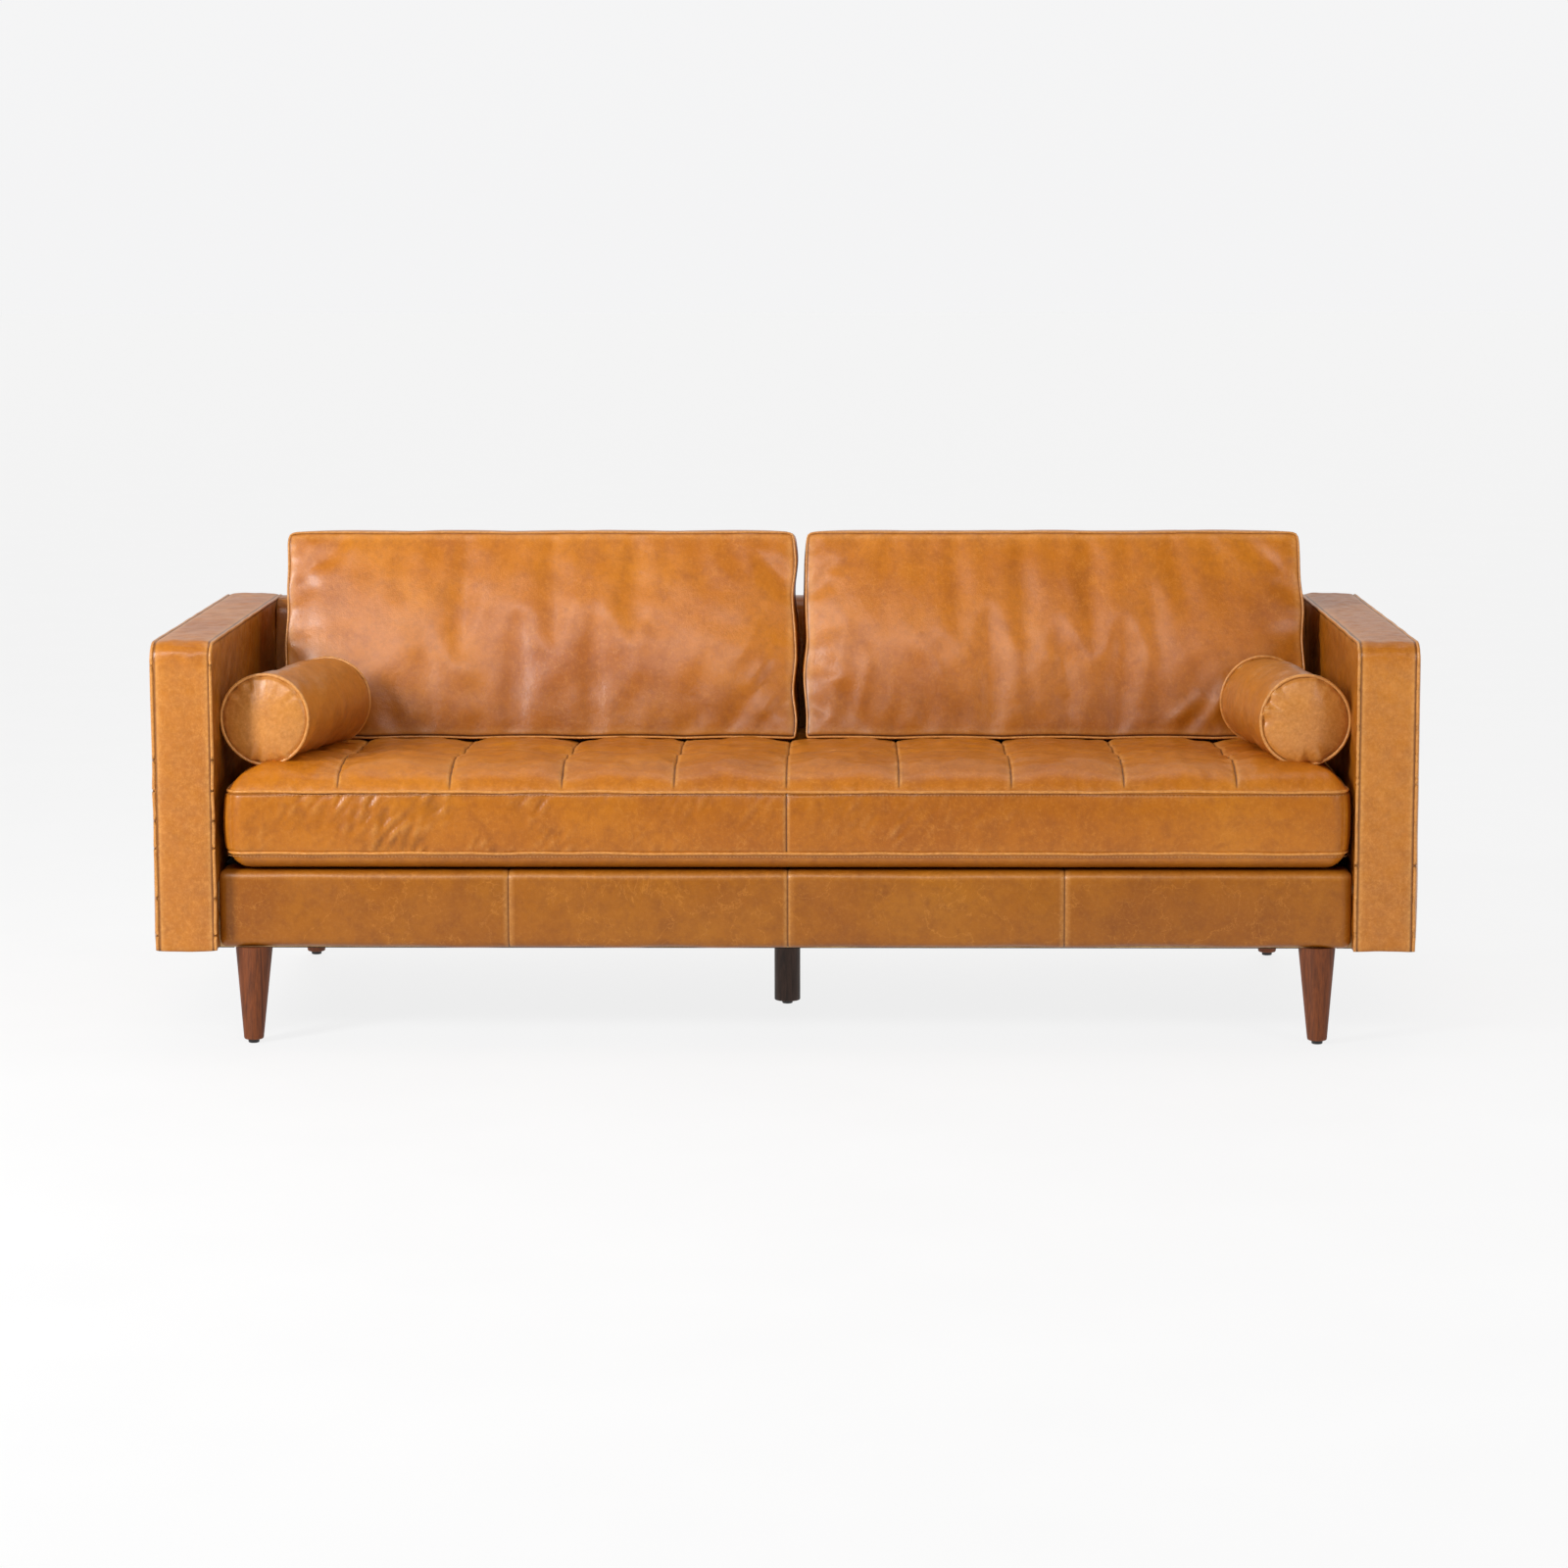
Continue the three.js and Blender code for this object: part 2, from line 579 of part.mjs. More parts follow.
// A round roll along local Y with crowned ends; its zip slot faces down.
function addBolster(place) {
  const front = new THREE.Vector3(...BOLSTERS[place].front);
  const rear = new THREE.Vector3(...BOLSTERS[place].rear);
  const half = BOLSTER_LONG / 2;
  const profile = [
    new THREE.Vector2(0, -half),
    new THREE.Vector2(BOLSTER_R * 0.6, BOLSTER_CROWN * 0.4 - half),
    new THREE.Vector2(BOLSTER_R * 0.95, BOLSTER_CROWN - half),
    new THREE.Vector2(BOLSTER_R, BOLSTER_CROWN + 6 - half),
  ];
  const mirrored = profile.map(({ x, y }) => new THREE.Vector2(x, -y)).reverse();
  const roll = new THREE.LatheGeometry([...profile, ...mirrored], 32);
  const slot = new THREE.BoxGeometry(2 * ZIP_HALF_HIGH, BOLSTER_LONG - ZIP_INSET, 8 * LEATHER);
  const group = new THREE.Group();
  group.position.copy(front).lerp(rear, 0.5);
  group.quaternion.setFromUnitVectors(new THREE.Vector3(0, 1, 0), rear.sub(front).normalize());
  sofa.add(group);
  slot.translate(0, 0, -BOLSTER_R);
  add(`bolster_${place}_cover`, cut(roll, shrink(roll, LEATHER), slot), 'leather', group);
  add(`bolster_${place}_core`, shrink(roll, LEATHER + GAP), 'foam', group);
}

addLegs();
addBase();
addSuspension();
addArms();
addBack();
addFrontCover();
addSeatCushion();
addBackCushion('left');
addBackCushion('right');
addBolster('left');
addBolster('right');

export default sofa;
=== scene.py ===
"""A caramel leather sofa with tapered wooden legs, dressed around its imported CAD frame.

Lengths are in metres. Z points up and the sofa's front faces -Y.
"""

import json
import math

import bmesh
import bpy
import numpy as np
from mathutils import Matrix, Vector


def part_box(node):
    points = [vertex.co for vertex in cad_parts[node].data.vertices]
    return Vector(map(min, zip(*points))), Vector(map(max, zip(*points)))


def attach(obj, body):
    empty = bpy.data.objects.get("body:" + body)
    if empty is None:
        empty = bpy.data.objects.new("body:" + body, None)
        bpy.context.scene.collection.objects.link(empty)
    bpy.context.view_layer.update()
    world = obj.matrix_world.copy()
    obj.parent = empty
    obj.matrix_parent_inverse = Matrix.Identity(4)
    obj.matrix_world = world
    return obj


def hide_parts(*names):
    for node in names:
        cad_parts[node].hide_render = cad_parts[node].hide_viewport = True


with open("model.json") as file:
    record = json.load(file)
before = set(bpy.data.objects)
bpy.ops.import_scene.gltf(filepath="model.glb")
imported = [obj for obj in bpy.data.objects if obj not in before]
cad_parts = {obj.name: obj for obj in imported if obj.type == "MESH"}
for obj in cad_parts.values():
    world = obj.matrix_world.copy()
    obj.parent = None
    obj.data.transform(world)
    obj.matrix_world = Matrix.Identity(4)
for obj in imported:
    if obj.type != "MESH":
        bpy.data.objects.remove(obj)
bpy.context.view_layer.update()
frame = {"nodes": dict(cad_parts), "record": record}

CORNERS = ("front_left", "front_right", "rear_left", "rear_right")
SIDES = {"left": -1, "right": 1}
ARM_LOW, ARM_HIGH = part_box("arm_cover_right")
LEATHER_TOP = ARM_HIGH.z
LEATHER_BOTTOM = ARM_LOW.z
ARM_INNER = ARM_LOW.x
ARM_OUTER = ARM_HIGH.x
FRONT = ARM_LOW.y
REAR = ARM_HIGH.y
ON_FACE = 0.9999  # a cube coordinate beyond this lies on that face


# ---------------------------------------------------------------- number helpers


def smooth(low, high, value):
    """0 below low, 1 above high, and an S curve between."""
    t = np.clip((value - low) / (high - low), 0, 1)
    return t * t * (3 - 2 * t)


def lerp(a, b, t):
    return a + (b - a) * t


def waves(points, wavelength, seed, count=14):
    """Smooth noise of about unit size: sine waves in seeded directions, about that wavelength long."""
    rng = np.random.default_rng(seed)
    ways = rng.normal(size=(count, points.shape[1]))
    ways /= np.linalg.norm(ways, axis=1)[:, None]
    lengths = wavelength * rng.uniform(0.7, 1.6, count)
    phases = rng.uniform(0, 2 * math.pi, count)
    return np.sin(points @ (ways / lengths[:, None] * 2 * math.pi).T + phases).sum(1) * math.sqrt(2 / count)


def bell(distance, centre, width):
    """1 where distance equals centre, falling to nothing over about that width either side."""
    return np.exp(-(((distance - centre) / width) ** 2))


def crease(points, start, end, width, height):
    """A soft fold along a line in the plane of the points: a ridge that tapers to nothing at both ends."""
    a, b = np.array(start, float), np.array(end, float)
    along = (points - a) @ (b - a) / ((b - a) @ (b - a))
    foot = a + np.clip(along, 0, 1)[:, None] * (b - a)
    away = np.linalg.norm(points - foot, axis=1)
    side = (points - foot) @ np.array([b[1] - a[1], a[0] - b[0]]) / np.linalg.norm(b - a)
    taper = np.sin(np.pi * np.clip(along, 0, 1)) ** 0.7
    ridge = bell(side, 0, width) - 0.55 * bell(side, 1.9 * width, 1.3 * width)
    return height * ridge * taper * bell(np.maximum(away - np.abs(side), 0), 0, width)


# ---------------------------------------------------------------- mesh helpers


def shell(counts):
    """The surface of a cube from -1 to 1 as a lattice of counts cells: points, and quads that face out."""
    counts = np.array(counts)
    quads = []
    for axis, (a, b) in enumerate([(1, 2), (2, 0), (0, 1)]):
        i, j = np.meshgrid(np.arange(counts[a]), np.arange(counts[b]), indexing="ij")
        for side in (0, 1):
            quad = np.zeros((i.size, 4, 3), int)
            quad[:, :, axis] = side * counts[axis]
            for k, (di, dj) in enumerate([(0, 0), (1, 0), (1, 1), (0, 1)]):
                quad[:, k, a] = i.ravel() + di
                quad[:, k, b] = j.ravel() + dj
            quads.append(quad if side else quad[:, ::-1])
    flat = np.concatenate(quads).reshape(-1, 3)
    lattice, inverse = np.unique(flat, axis=0, return_inverse=True)
    return lattice / counts * 2 - 1, inverse.reshape(-1, 4)


def rounded(points, half, radius):
    """Cube points mapped to a box of those half sizes with rounded edges."""
    half = np.array(half)
    scaled = points * half
    core = np.clip(scaled, radius - half, half - radius)
    out = scaled - core
    length = np.linalg.norm(out, axis=1)
    return core + out / np.maximum(length, 1e-9)[:, None] * radius


def make(name, points, faces, material, **layers):
    """A smooth mesh object. Each layer is a number at every point that the materials can read."""
    mesh = bpy.data.meshes.new(name)
    mesh.from_pydata(points.tolist(), [], faces if isinstance(faces, list) else faces.tolist())
    mesh.polygons.foreach_set("use_smooth", np.ones(len(mesh.polygons), bool))
    for layer, values in layers.items():
        attribute = mesh.attributes.new(layer, "FLOAT", "POINT")
        attribute.data.foreach_set("value", np.asarray(values, np.float32))
    mesh.materials.append(material)
    mesh.update()
    piece = bpy.data.objects.new(name, mesh)
    bpy.context.scene.collection.objects.link(piece)
    return piece


def place(piece, body, slot, *nodes):
    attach(piece, body)
    if nodes:
        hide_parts(*nodes)
    return piece


def ring_quads(rings, turns, closed=False):
    """Quads that join each ring of points to the next, and the last to the first if closed."""
    i, j = np.meshgrid(np.arange(rings if closed else rings - 1), np.arange(turns), indexing="ij")
    i2, j2 = (i + 1) % rings, (j + 1) % turns
    return np.stack([i * turns + j, i * turns + j2, i2 * turns + j2, i2 * turns + j], -1).reshape(-1, 4)


def tube(name, path, radius, material, closed=False, sides=10, up=None, wear=0.8):
    """A tube along a path of points; up says which way its sides are counted from. Its paleness is partly
    edge wear and partly a painted highlight.
    """
    path = np.array(path, float)
    count = len(path)
    ahead = np.roll(path, -1, axis=0) - np.roll(path, 1, axis=0)
    if not closed:
        ahead[0] = path[1] - path[0]
        ahead[-1] = path[-1] - path[-2]
    ahead /= np.linalg.norm(ahead, axis=1)[:, None]
    rise = np.tile(np.array([0.0, 0.0, 1.0]), (count, 1)) if up is None else np.array(up, float)
    across = np.cross(rise, ahead)
    weak = np.linalg.norm(across, axis=1) < 1e-3
    across[weak] = np.cross(np.array([0.0, 1.0, 0.0]), ahead[weak])
    across /= np.linalg.norm(across, axis=1)[:, None]
    rise = np.cross(ahead, across)
    angles = np.arange(sides) / sides * 2 * math.pi
    cos, sin = np.cos(angles)[None, :, None], np.sin(angles)[None, :, None]
    points = (path[:, None] + radius * (cos * across[:, None] + sin * rise[:, None])).reshape(-1, 3)
    faces = ring_quads(count, sides, closed).tolist()
    if not closed:
        faces.append(list(range(sides))[::-1])
        faces.append([(count - 1) * sides + k for k in range(sides)])
    return make(name, points, faces, material, wear=np.full(len(points), wear))


def resample(path, step, closed=False):
    """The same path with points about a step apart."""
    path = np.array(path, float)
    if closed:
        path = np.vstack([path, path[:1]])
    lengths = np.concatenate([[0], np.cumsum(np.linalg.norm(np.diff(path, axis=0), axis=1))])
    count = max(2, int(round(lengths[-1] / step)))
    wanted = np.linspace(0, lengths[-1], count + 1)
    if closed:
        wanted = wanted[:-1]
    return np.stack([np.interp(wanted, lengths, path[:, k]) for k in range(3)], 1)


STITCH_LONG = 0.0042
STITCH_THICK = 0.0006
STITCH_STEP = 0.0064
STITCH_POINTS = (  # along, across and up, in units of the stitch's length and thickness
    (-0.5, 0, -0.3), (-0.3, 1, 0.5), (-0.3, -1, 0.5), (0.3, 1, 0.5),
    (0.3, -1, 0.5), (0.5, 0, -0.3), (0, 1, 0.8), (0, -1, 0.8),
)
STITCH_FACES = ((0, 2, 1), (1, 2, 7, 6), (6, 7, 4, 3), (3, 4, 5))


def stitches(name, spots, out, material):
    """A closed row of short thread stitches, one at each spot, standing a little proud along out."""
    ahead = np.roll(spots, -1, axis=0) - spots
    ahead /= np.linalg.norm(ahead, axis=1)[:, None]
    side = np.cross(ahead, out)
    side /= np.linalg.norm(side, axis=1)[:, None]
    up = np.cross(side, ahead)
    corners = [
        spots + ahead * along * STITCH_LONG + (side * across + up * high) * STITCH_THICK
        for along, across, high in STITCH_POINTS
    ]
    points = np.stack(corners, 1).reshape(-1, 3)
    size = len(STITCH_POINTS)
    faces = [tuple(k + size * n for k in face) for n in range(len(spots)) for face in STITCH_FACES]
    return make(name, points, faces, material)


def marks(half, spots, coarse, fine, reach=0.006):
    """Places from -half to half, a coarse step apart but a fine step near each spot, scaled to -1 to 1."""
    dense = np.linspace(-half, half, 8001)
    near = np.min(np.abs(dense[:, None] - np.array(spots)), axis=1)
    step = coarse - (coarse - fine) * np.exp(-((near / reach) ** 2))
    total = np.concatenate([[0], np.cumsum(2 / (step[1:] + step[:-1])) * (dense[1] - dense[0])])
    count = int(math.ceil(total[-1]))
    return np.interp(np.linspace(0, total[-1], count + 1), total, dense) / half


def lattice(u, v, w):
    """A cube surface whose lattice lines stand at the given places: its points, and quads that face out."""
    points, quads = shell((len(u) - 1, len(v) - 1, len(w) - 1))
    for axis, places in enumerate((u, v, w)):
        points[:, axis] = np.interp(points[:, axis], np.linspace(-1, 1, len(places)), places)
    return points, quads


CLOTH_FRAMES = 20


def inflate(points, quads, pinned, pressure, shrink, cap):
    """Cloth simulation: the closed skin swells under pressure with its pinned points held, by at most cap."""
    scene = bpy.context.scene
    mesh = bpy.data.meshes.new("cloth")
    mesh.from_pydata(points.tolist(), [], quads.tolist())
    skin = bpy.data.objects.new("cloth", mesh)
    scene.collection.objects.link(skin)
    skin.vertex_groups.new(name="pinned").add(np.flatnonzero(pinned).tolist(), 1.0, "REPLACE")
    cloth_modifier = skin.modifiers.new("cloth", "CLOTH")
    settings = cloth_modifier.settings
    settings.quality = 6
    settings.mass = 0.35
    settings.tension_stiffness = 60
    settings.compression_stiffness = 60
    settings.shear_stiffness = 30
    settings.bending_stiffness = 14
    settings.vertex_group_mass = "pinned"
    settings.use_pressure = True
    settings.uniform_pressure_force = pressure
    settings.shrink_min = shrink
    settings.effector_weights.gravity = 0
    cloth_modifier.collision_settings.use_collision = False
    cloth_modifier.collision_settings.use_self_collision = False
    for step in range(1, CLOTH_FRAMES + 1):
        scene.frame_set(step)
    swollen = skin.evaluated_get(bpy.context.evaluated_depsgraph_get()).data
    result = np.empty(len(points) * 3, np.float32)
    swollen.vertices.foreach_get("co", result)
    bpy.data.objects.remove(skin)
    scene.frame_set(1)
    move = result.reshape(-1, 3) - points
    length = np.linalg.norm(move, axis=1)[:, None]
    return points + move * np.minimum(1, cap / np.maximum(length, 1e-9))


def refine(points, quads, cube, levels):
    """The same surface with smooth subdivision: its points, quads, and each point's place on the cube."""
    mesh = bpy.data.meshes.new("coarse")
    mesh.from_pydata(points.tolist(), [], quads.tolist())
    layer = mesh.attributes.new("cube", "FLOAT_VECTOR", "POINT")
    layer.data.foreach_set("vector", cube.ravel().astype(np.float32))
    piece = bpy.data.objects.new("coarse", mesh)
    bpy.context.scene.collection.objects.link(piece)
    piece.modifiers.new("smooth", "SUBSURF").levels = levels
    fine = piece.evaluated_get(bpy.context.evaluated_depsgraph_get()).data
    fine_points = np.empty(len(fine.vertices) * 3, np.float32)
    fine.vertices.foreach_get("co", fine_points)
    fine_cube = np.empty(len(fine.vertices) * 3, np.float32)
    fine.attributes["cube"].data.foreach_get("vector", fine_cube)
    corners = np.empty(len(fine.loops), np.int32)
    fine.loops.foreach_get("vertex_index", corners)
    bpy.data.objects.remove(piece)
    fine_points, fine_cube = (found.reshape(-1, 3).astype(float) for found in (fine_points, fine_cube))
    return fine_points, corners.reshape(-1, 4), fine_cube


# ---------------------------------------------------------------- materials


class Nodes:
    """A short way to build a material's node tree."""

    def __init__(self, name):
        self.material = bpy.data.materials.new(name)
        self.material.use_nodes = True
        self.tree = self.material.node_tree
        self.shader = self.tree.nodes["Principled BSDF"]
        self.place = self.add("ShaderNodeTexCoord").outputs["Object"]

    def add(self, kind, **settings):
        node = self.tree.nodes.new(kind)
        for key, value in settings.items():
            setattr(node, key, value)
        return node

    def link(self, source, target):
        self.tree.links.new(source, target)

    def stretched(self, scale, turn=(0, 0, 0)):
        mapping = self.add("ShaderNodeMapping")
        mapping.inputs["Scale"].default_value = scale
        mapping.inputs["Rotation"].default_value = turn
        self.link(self.place, mapping.inputs["Vector"])
        return mapping.outputs["Vector"]

    def noise(self, scale, detail=3.0, roughness=0.55, distortion=0.0, place=None):
        node = self.add("ShaderNodeTexNoise")
        node.inputs["Scale"].default_value = scale
        node.inputs["Detail"].default_value = detail
        node.inputs["Roughness"].default_value = roughness
        node.inputs["Distortion"].default_value = distortion
        self.link(place or self.place, node.inputs["Vector"])
        return node.outputs["Fac"]

    def cells(self, scale):
        node = self.add("ShaderNodeTexVoronoi", feature="F1")
        node.inputs["Scale"].default_value = scale
        self.link(self.place, node.inputs["Vector"])
        return node.outputs["Distance"]

    def ramp(self, source, *stops):
        node = self.add("ShaderNodeValToRGB")
        elements = node.color_ramp.elements
        while len(elements) < len(stops):
            elements.new(0.5)
        for element, (position, color) in zip(elements, stops):
            element.position = position
            element.color = (*color, 1)
        self.link(source, node.inputs["Fac"])
        return node.outputs["Color"]

    def math(self, operation, a, b=0.0, clamp=False):
        node = self.add("ShaderNodeMath", operation=operation, use_clamp=clamp)
        for socket, value in zip(node.inputs, (a, b)):
            if isinstance(value, (int, float)):
                socket.default_value = value
            else:
                self.link(value, socket)
        return node.outputs["Value"]

    def fit(self, source, low, high, to_low, to_high):
        node = self.add("ShaderNodeMapRange")
        self.link(source, node.inputs["Value"])
        for key, value in (("From Min", low), ("From Max", high), ("To Min", to_low), ("To Max", to_high)):
            node.inputs[key].default_value = value
        return node.outputs["Result"]

    def mix(self, a, b, factor):
        node = self.add("ShaderNodeMix", data_type="RGBA")
        if isinstance(factor, (int, float)):
            node.inputs["Factor"].default_value = factor
        else:
            self.link(factor, node.inputs["Factor"])
        for key, value in (("A", a), ("B", b)):
            socket = next(s for s in node.inputs if s.name == key and s.type == "RGBA")
            if isinstance(value, tuple):
                socket.default_value = (*value, 1)
            else:
                self.link(value, socket)
        return next(s for s in node.outputs if s.type == "RGBA")

    def layer(self, name):
        return self.add("ShaderNodeAttribute", attribute_name=name).outputs["Fac"]

    def bump(self, height, strength, distance, before=None):
        node = self.add("ShaderNodeBump")
        node.inputs["Strength"].default_value = strength
        node.inputs["Distance"].default_value = distance
        self.link(height, node.inputs["Height"])
        if before is not None:
            self.link(before, node.inputs["Normal"])
        return node.outputs["Normal"]

    def finish(self, color, roughness, normal=None, metallic=0.0, specular=0.5, coat=0.0):
        self.link(color, self.shader.inputs["Base Color"])
        if isinstance(roughness, (int, float)):
            self.shader.inputs["Roughness"].default_value = roughness
        else:
            self.link(roughness, self.shader.inputs["Roughness"])
        if normal is not None:
            self.link(normal, self.shader.inputs["Normal"])
        self.shader.inputs["Metallic"].default_value = metallic
        self.shader.inputs["Specular IOR Level"].default_value = specular
        self.shader.inputs["Coat Weight"].default_value = coat
        self.shader.inputs["Coat Roughness"].default_value = 0.2
        return self.material


def srgb(red, green, blue):
    """A colour given as 0-255 display values, as the shader's linear light."""
    shares = (value / 255 for value in (red, green, blue))
    return tuple(((c + 0.055) / 1.055) ** 2.4 if c > 0.04 else c / 12.92 for c in shares)


HIDE_TONES = ((0.3, (172, 94, 12)), (0.5, (189, 109, 14)), (0.72, (202, 122, 20)))  # from dark to pale
HIDE_BLOTCH = (146, 77, 15)
HIDE_CLOUDLET = (150, 80, 16)
HIDE_SPECK = (208, 130, 42)
HIDE_CREASE = (216, 142, 58)
# The pale tone is for worn edges and also for painted highlights and painted light; the dark tone is for
# seams and also for painted shade.
HIDE_WORN_AND_LIT = (236, 172, 96)
HIDE_SEAM_AND_SHADE = (52, 22, 8)


def leather(name, depth, seed, wrinkles, shine=0.45):
    """Glossy caramel leather: cloudy colour, paler worn edges and painted highlights, dark seams and painted
    shade, fine grain and faint creases.
    """
    n = Nodes(name)
    shift = n.add("ShaderNodeVectorMath", operation="ADD")
    shift.inputs[1].default_value = (seed, seed * 0.7, -seed * 0.4)
    n.link(n.place, shift.inputs[0])
    n.place = shift.outputs["Vector"]

    def shade(color):
        return srgb(*(value * depth for value in color))

    clouds = n.noise(3.6, 6.0, 0.6, 0.5)
    blotches = n.noise(24.0, 6.0, 0.68, 0.4)
    specks = n.noise(150.0, 5.0, 0.72)
    base = n.ramp(clouds, *((position, shade(color)) for position, color in HIDE_TONES))
    base = n.mix(base, shade(HIDE_BLOTCH), n.fit(blotches, 0.47, 0.75, 0.0, 0.5))
    base = n.mix(base, shade(HIDE_SPECK), n.fit(specks, 0.5, 0.75, 0.0, 0.6))
    ridges = n.math("ABSOLUTE", n.math("SUBTRACT", n.noise(7.0, 6.0, 0.6, 0.4), 0.5))
    base = n.mix(base, srgb(*HIDE_CREASE), n.fit(ridges, 0.0, 0.006, 0.3, 0.0))
    cloudlets = n.noise(55.0, 5.0, 0.7)
    base = n.mix(base, shade(HIDE_CLOUDLET), n.fit(cloudlets, 0.47, 0.72, 0.0, 0.42))
    # The pale mix is worn edges and also painted highlights and painted light; the dark mix is seams and
    # stitching and also painted shade.
    wear_and_light_mix = n.math("MULTIPLY", n.layer("wear"), n.fit(specks, 0.35, 0.65, 0.45, 1.0), clamp=True)
    base = n.mix(base, srgb(*HIDE_WORN_AND_LIT), n.math("MULTIPLY", wear_and_light_mix, 0.7))
    seam_and_shade_mix = n.math("MULTIPLY", n.layer("seam"), 0.85, clamp=True)
    base = n.mix(base, srgb(*HIDE_SEAM_AND_SHADE), seam_and_shade_mix)
    folds = n.noise(26.0, 4.0, 0.6, 1.4, n.stretched((1.0, 1.0, 0.35), (0.2, 0.6, 0.3)))
    normal = n.bump(folds, 0.3 * wrinkles, 0.004)
    normal = n.bump(n.noise(120.0, 4.0, 0.62), 0.36, 0.0012, normal)
    normal = n.bump(n.cells(620.0), 0.28, 0.0005, normal)
    normal = n.bump(n.noise(1300.0, 2.0), 0.1, 0.0003, normal)
    gloss = n.math("ADD", n.fit(blotches, 0.3, 0.75, 0.29, 0.40), n.math("MULTIPLY", specks, 0.06))
    return n.finish(base, gloss, normal, specular=shine, coat=0.12)


def wood(name, light, dark, rough, lengthwise=(9.0, 9.0, 0.7)):
    """Stained timber with grain that runs along Z unless lengthwise says otherwise."""
    n = Nodes(name)
    rings = n.noise(7.0, 6.0, 0.6, 1.8, n.stretched(lengthwise))
    finer = tuple(a * b for a, b in zip(lengthwise, (1.4, 1.4, 0.5)))
    streaks = n.noise(60.0, 3.0, 0.7, 0.2, n.stretched(finer))
    between = tuple(0.5 * (a + b) for a, b in zip(light, dark))
    color = n.ramp(rings, (0.3, dark), (0.55, light), (0.75, between))
    color = n.mix(color, dark, n.fit(streaks, 0.45, 0.7, 0.0, 0.7))
    normal = n.bump(streaks, 0.2, 0.0006)
    gloss = n.fit(streaks, 0.3, 0.8, rough, rough + 0.15)
    return n.finish(color, gloss, normal, specular=0.35)


WEAVE_SCALE = 45.0


def cloth(name, color):
    """Plain woven cloth: two crossing sets of threads."""
    n = Nodes(name)
    threads = []
    for axis in ("X", "Y"):
        wave = n.add("ShaderNodeTexWave", bands_direction=axis)
        wave.inputs["Scale"].default_value = WEAVE_SCALE
        wave.inputs["Distortion"].default_value = 0.6
        n.link(n.place, wave.inputs["Vector"])
        threads.append(wave.outputs["Fac"])
    weave = n.math("MULTIPLY", threads[0], threads[1])
    fuzz = n.noise(300.0)
    tone = n.mix(color, tuple(c * 0.45 for c in color), n.fit(fuzz, 0.3, 0.7, 0.0, 1.0))
    return n.finish(tone, 0.92, n.bump(weave, 0.5, 0.0006))


def steel(name):
    n = Nodes(name)
    scratches = n.noise(90.0, 4.0, 0.7, 0.0, n.stretched((6.0, 0.4, 6.0)))
    color = n.ramp(scratches, (0.3, srgb(120, 122, 124)), (0.7, srgb(178, 180, 182)))
    gloss = n.fit(scratches, 0.3, 0.8, 0.28, 0.5)
    return n.finish(color, gloss, n.bump(scratches, 0.1, 0.0003), metallic=1.0)


def nylon(name):
    n = Nodes(name)
    speck = n.noise(900.0, 3.0)
    color = n.ramp(speck, (0.3, srgb(14, 14, 15)), (0.8, srgb(34, 33, 34)))
    return n.finish(color, 0.5, n.bump(speck, 0.15, 0.0003))


def thread(name):
    n = Nodes(name)
    twist = n.noise(2200.0, 2.0)
    color = n.ramp(twist, (0.3, srgb(150, 92, 44)), (0.7, srgb(206, 146, 84)))
    return n.finish(color, 0.7, n.bump(twist, 0.4, 0.0002))


# The leather copies differ in depth, which paints each piece lighter or darker by how much light reaches it:
# painted light and shade, darkest on the front rail and the back's outside.
LEATHER_ARM = leather("leather_arm", 0.97, 0.0, 0.35, 0.38)
LEATHER_BASE = leather("leather_base", 0.84, 3.1, 0.4, 0.3)
LEATHER_SEAT = leather("leather_seat", 1.0, 7.7, 0.8, 0.3)
LEATHER_BACK = leather("leather_back", 1.02, 12.3, 0.35, 0.45)
LEATHER_BOLSTER = leather("leather_bolster", 0.96, 17.9, 0.5)
LEATHER_WELT = leather("leather_welt", 0.95, 21.3, 0.3)
WALNUT = wood("walnut_stain", srgb(124, 62, 22), srgb(72, 33, 10), 0.5)
DARK_WOOD = wood("dark_stain", srgb(74, 50, 38), srgb(36, 23, 17), 0.45)
TIMBER = wood("pine_frame", srgb(214, 178, 128), srgb(172, 128, 82), 0.7, (0.8, 9.0, 9.0))
STEEL = steel("spring_steel")
NYLON = nylon("black_nylon")
DECK_CLOTH = cloth("deck_cloth_weave", srgb(60, 54, 46))
DUST_CLOTH = cloth("dust_cloth_weave", srgb(34, 33, 32))
THREAD = thread("tan_thread")


# ---------------------------------------------------------------- stage, light and camera


CAMERA_PLACE = (0.1076, -7.7737, 1.4685)
CAMERA_TURN = math.radians(-0.843)  # to the left
CAMERA_TILT = math.radians(7.806)  # down
CAMERA_ROLL = math.radians(-0.088)
CAMERA_FOCAL = 96.42
SENSOR = 36.0


def add_camera():
    data = bpy.data.cameras.new("camera")
    data.sensor_width = SENSOR
    data.lens = CAMERA_FOCAL
    data.clip_end = 60
    camera = bpy.data.objects.new("camera", data)
    ahead = Vector((
        math.sin(CAMERA_TURN) * math.cos(CAMERA_TILT),
        math.cos(CAMERA_TURN) * math.cos(CAMERA_TILT),
        -math.sin(CAMERA_TILT),
    ))
    right = Vector((math.cos(CAMERA_TURN), -math.sin(CAMERA_TURN), 0))
    up = right.cross(ahead)
    cos, sin = math.cos(CAMERA_ROLL), math.sin(CAMERA_ROLL)
    x, y = right * cos + up * sin, up * cos - right * sin
    turn = Matrix((x, y, -ahead)).transposed()
    camera.matrix_world = Matrix.Translation(CAMERA_PLACE) @ turn.to_4x4()
    bpy.context.scene.collection.objects.link(camera)
    bpy.context.scene.camera = camera


FLOOR_HALF = 60.0
FLOOR_GLOW = 0.83  # the studio floor is lit from below, so shadows on it stay faint


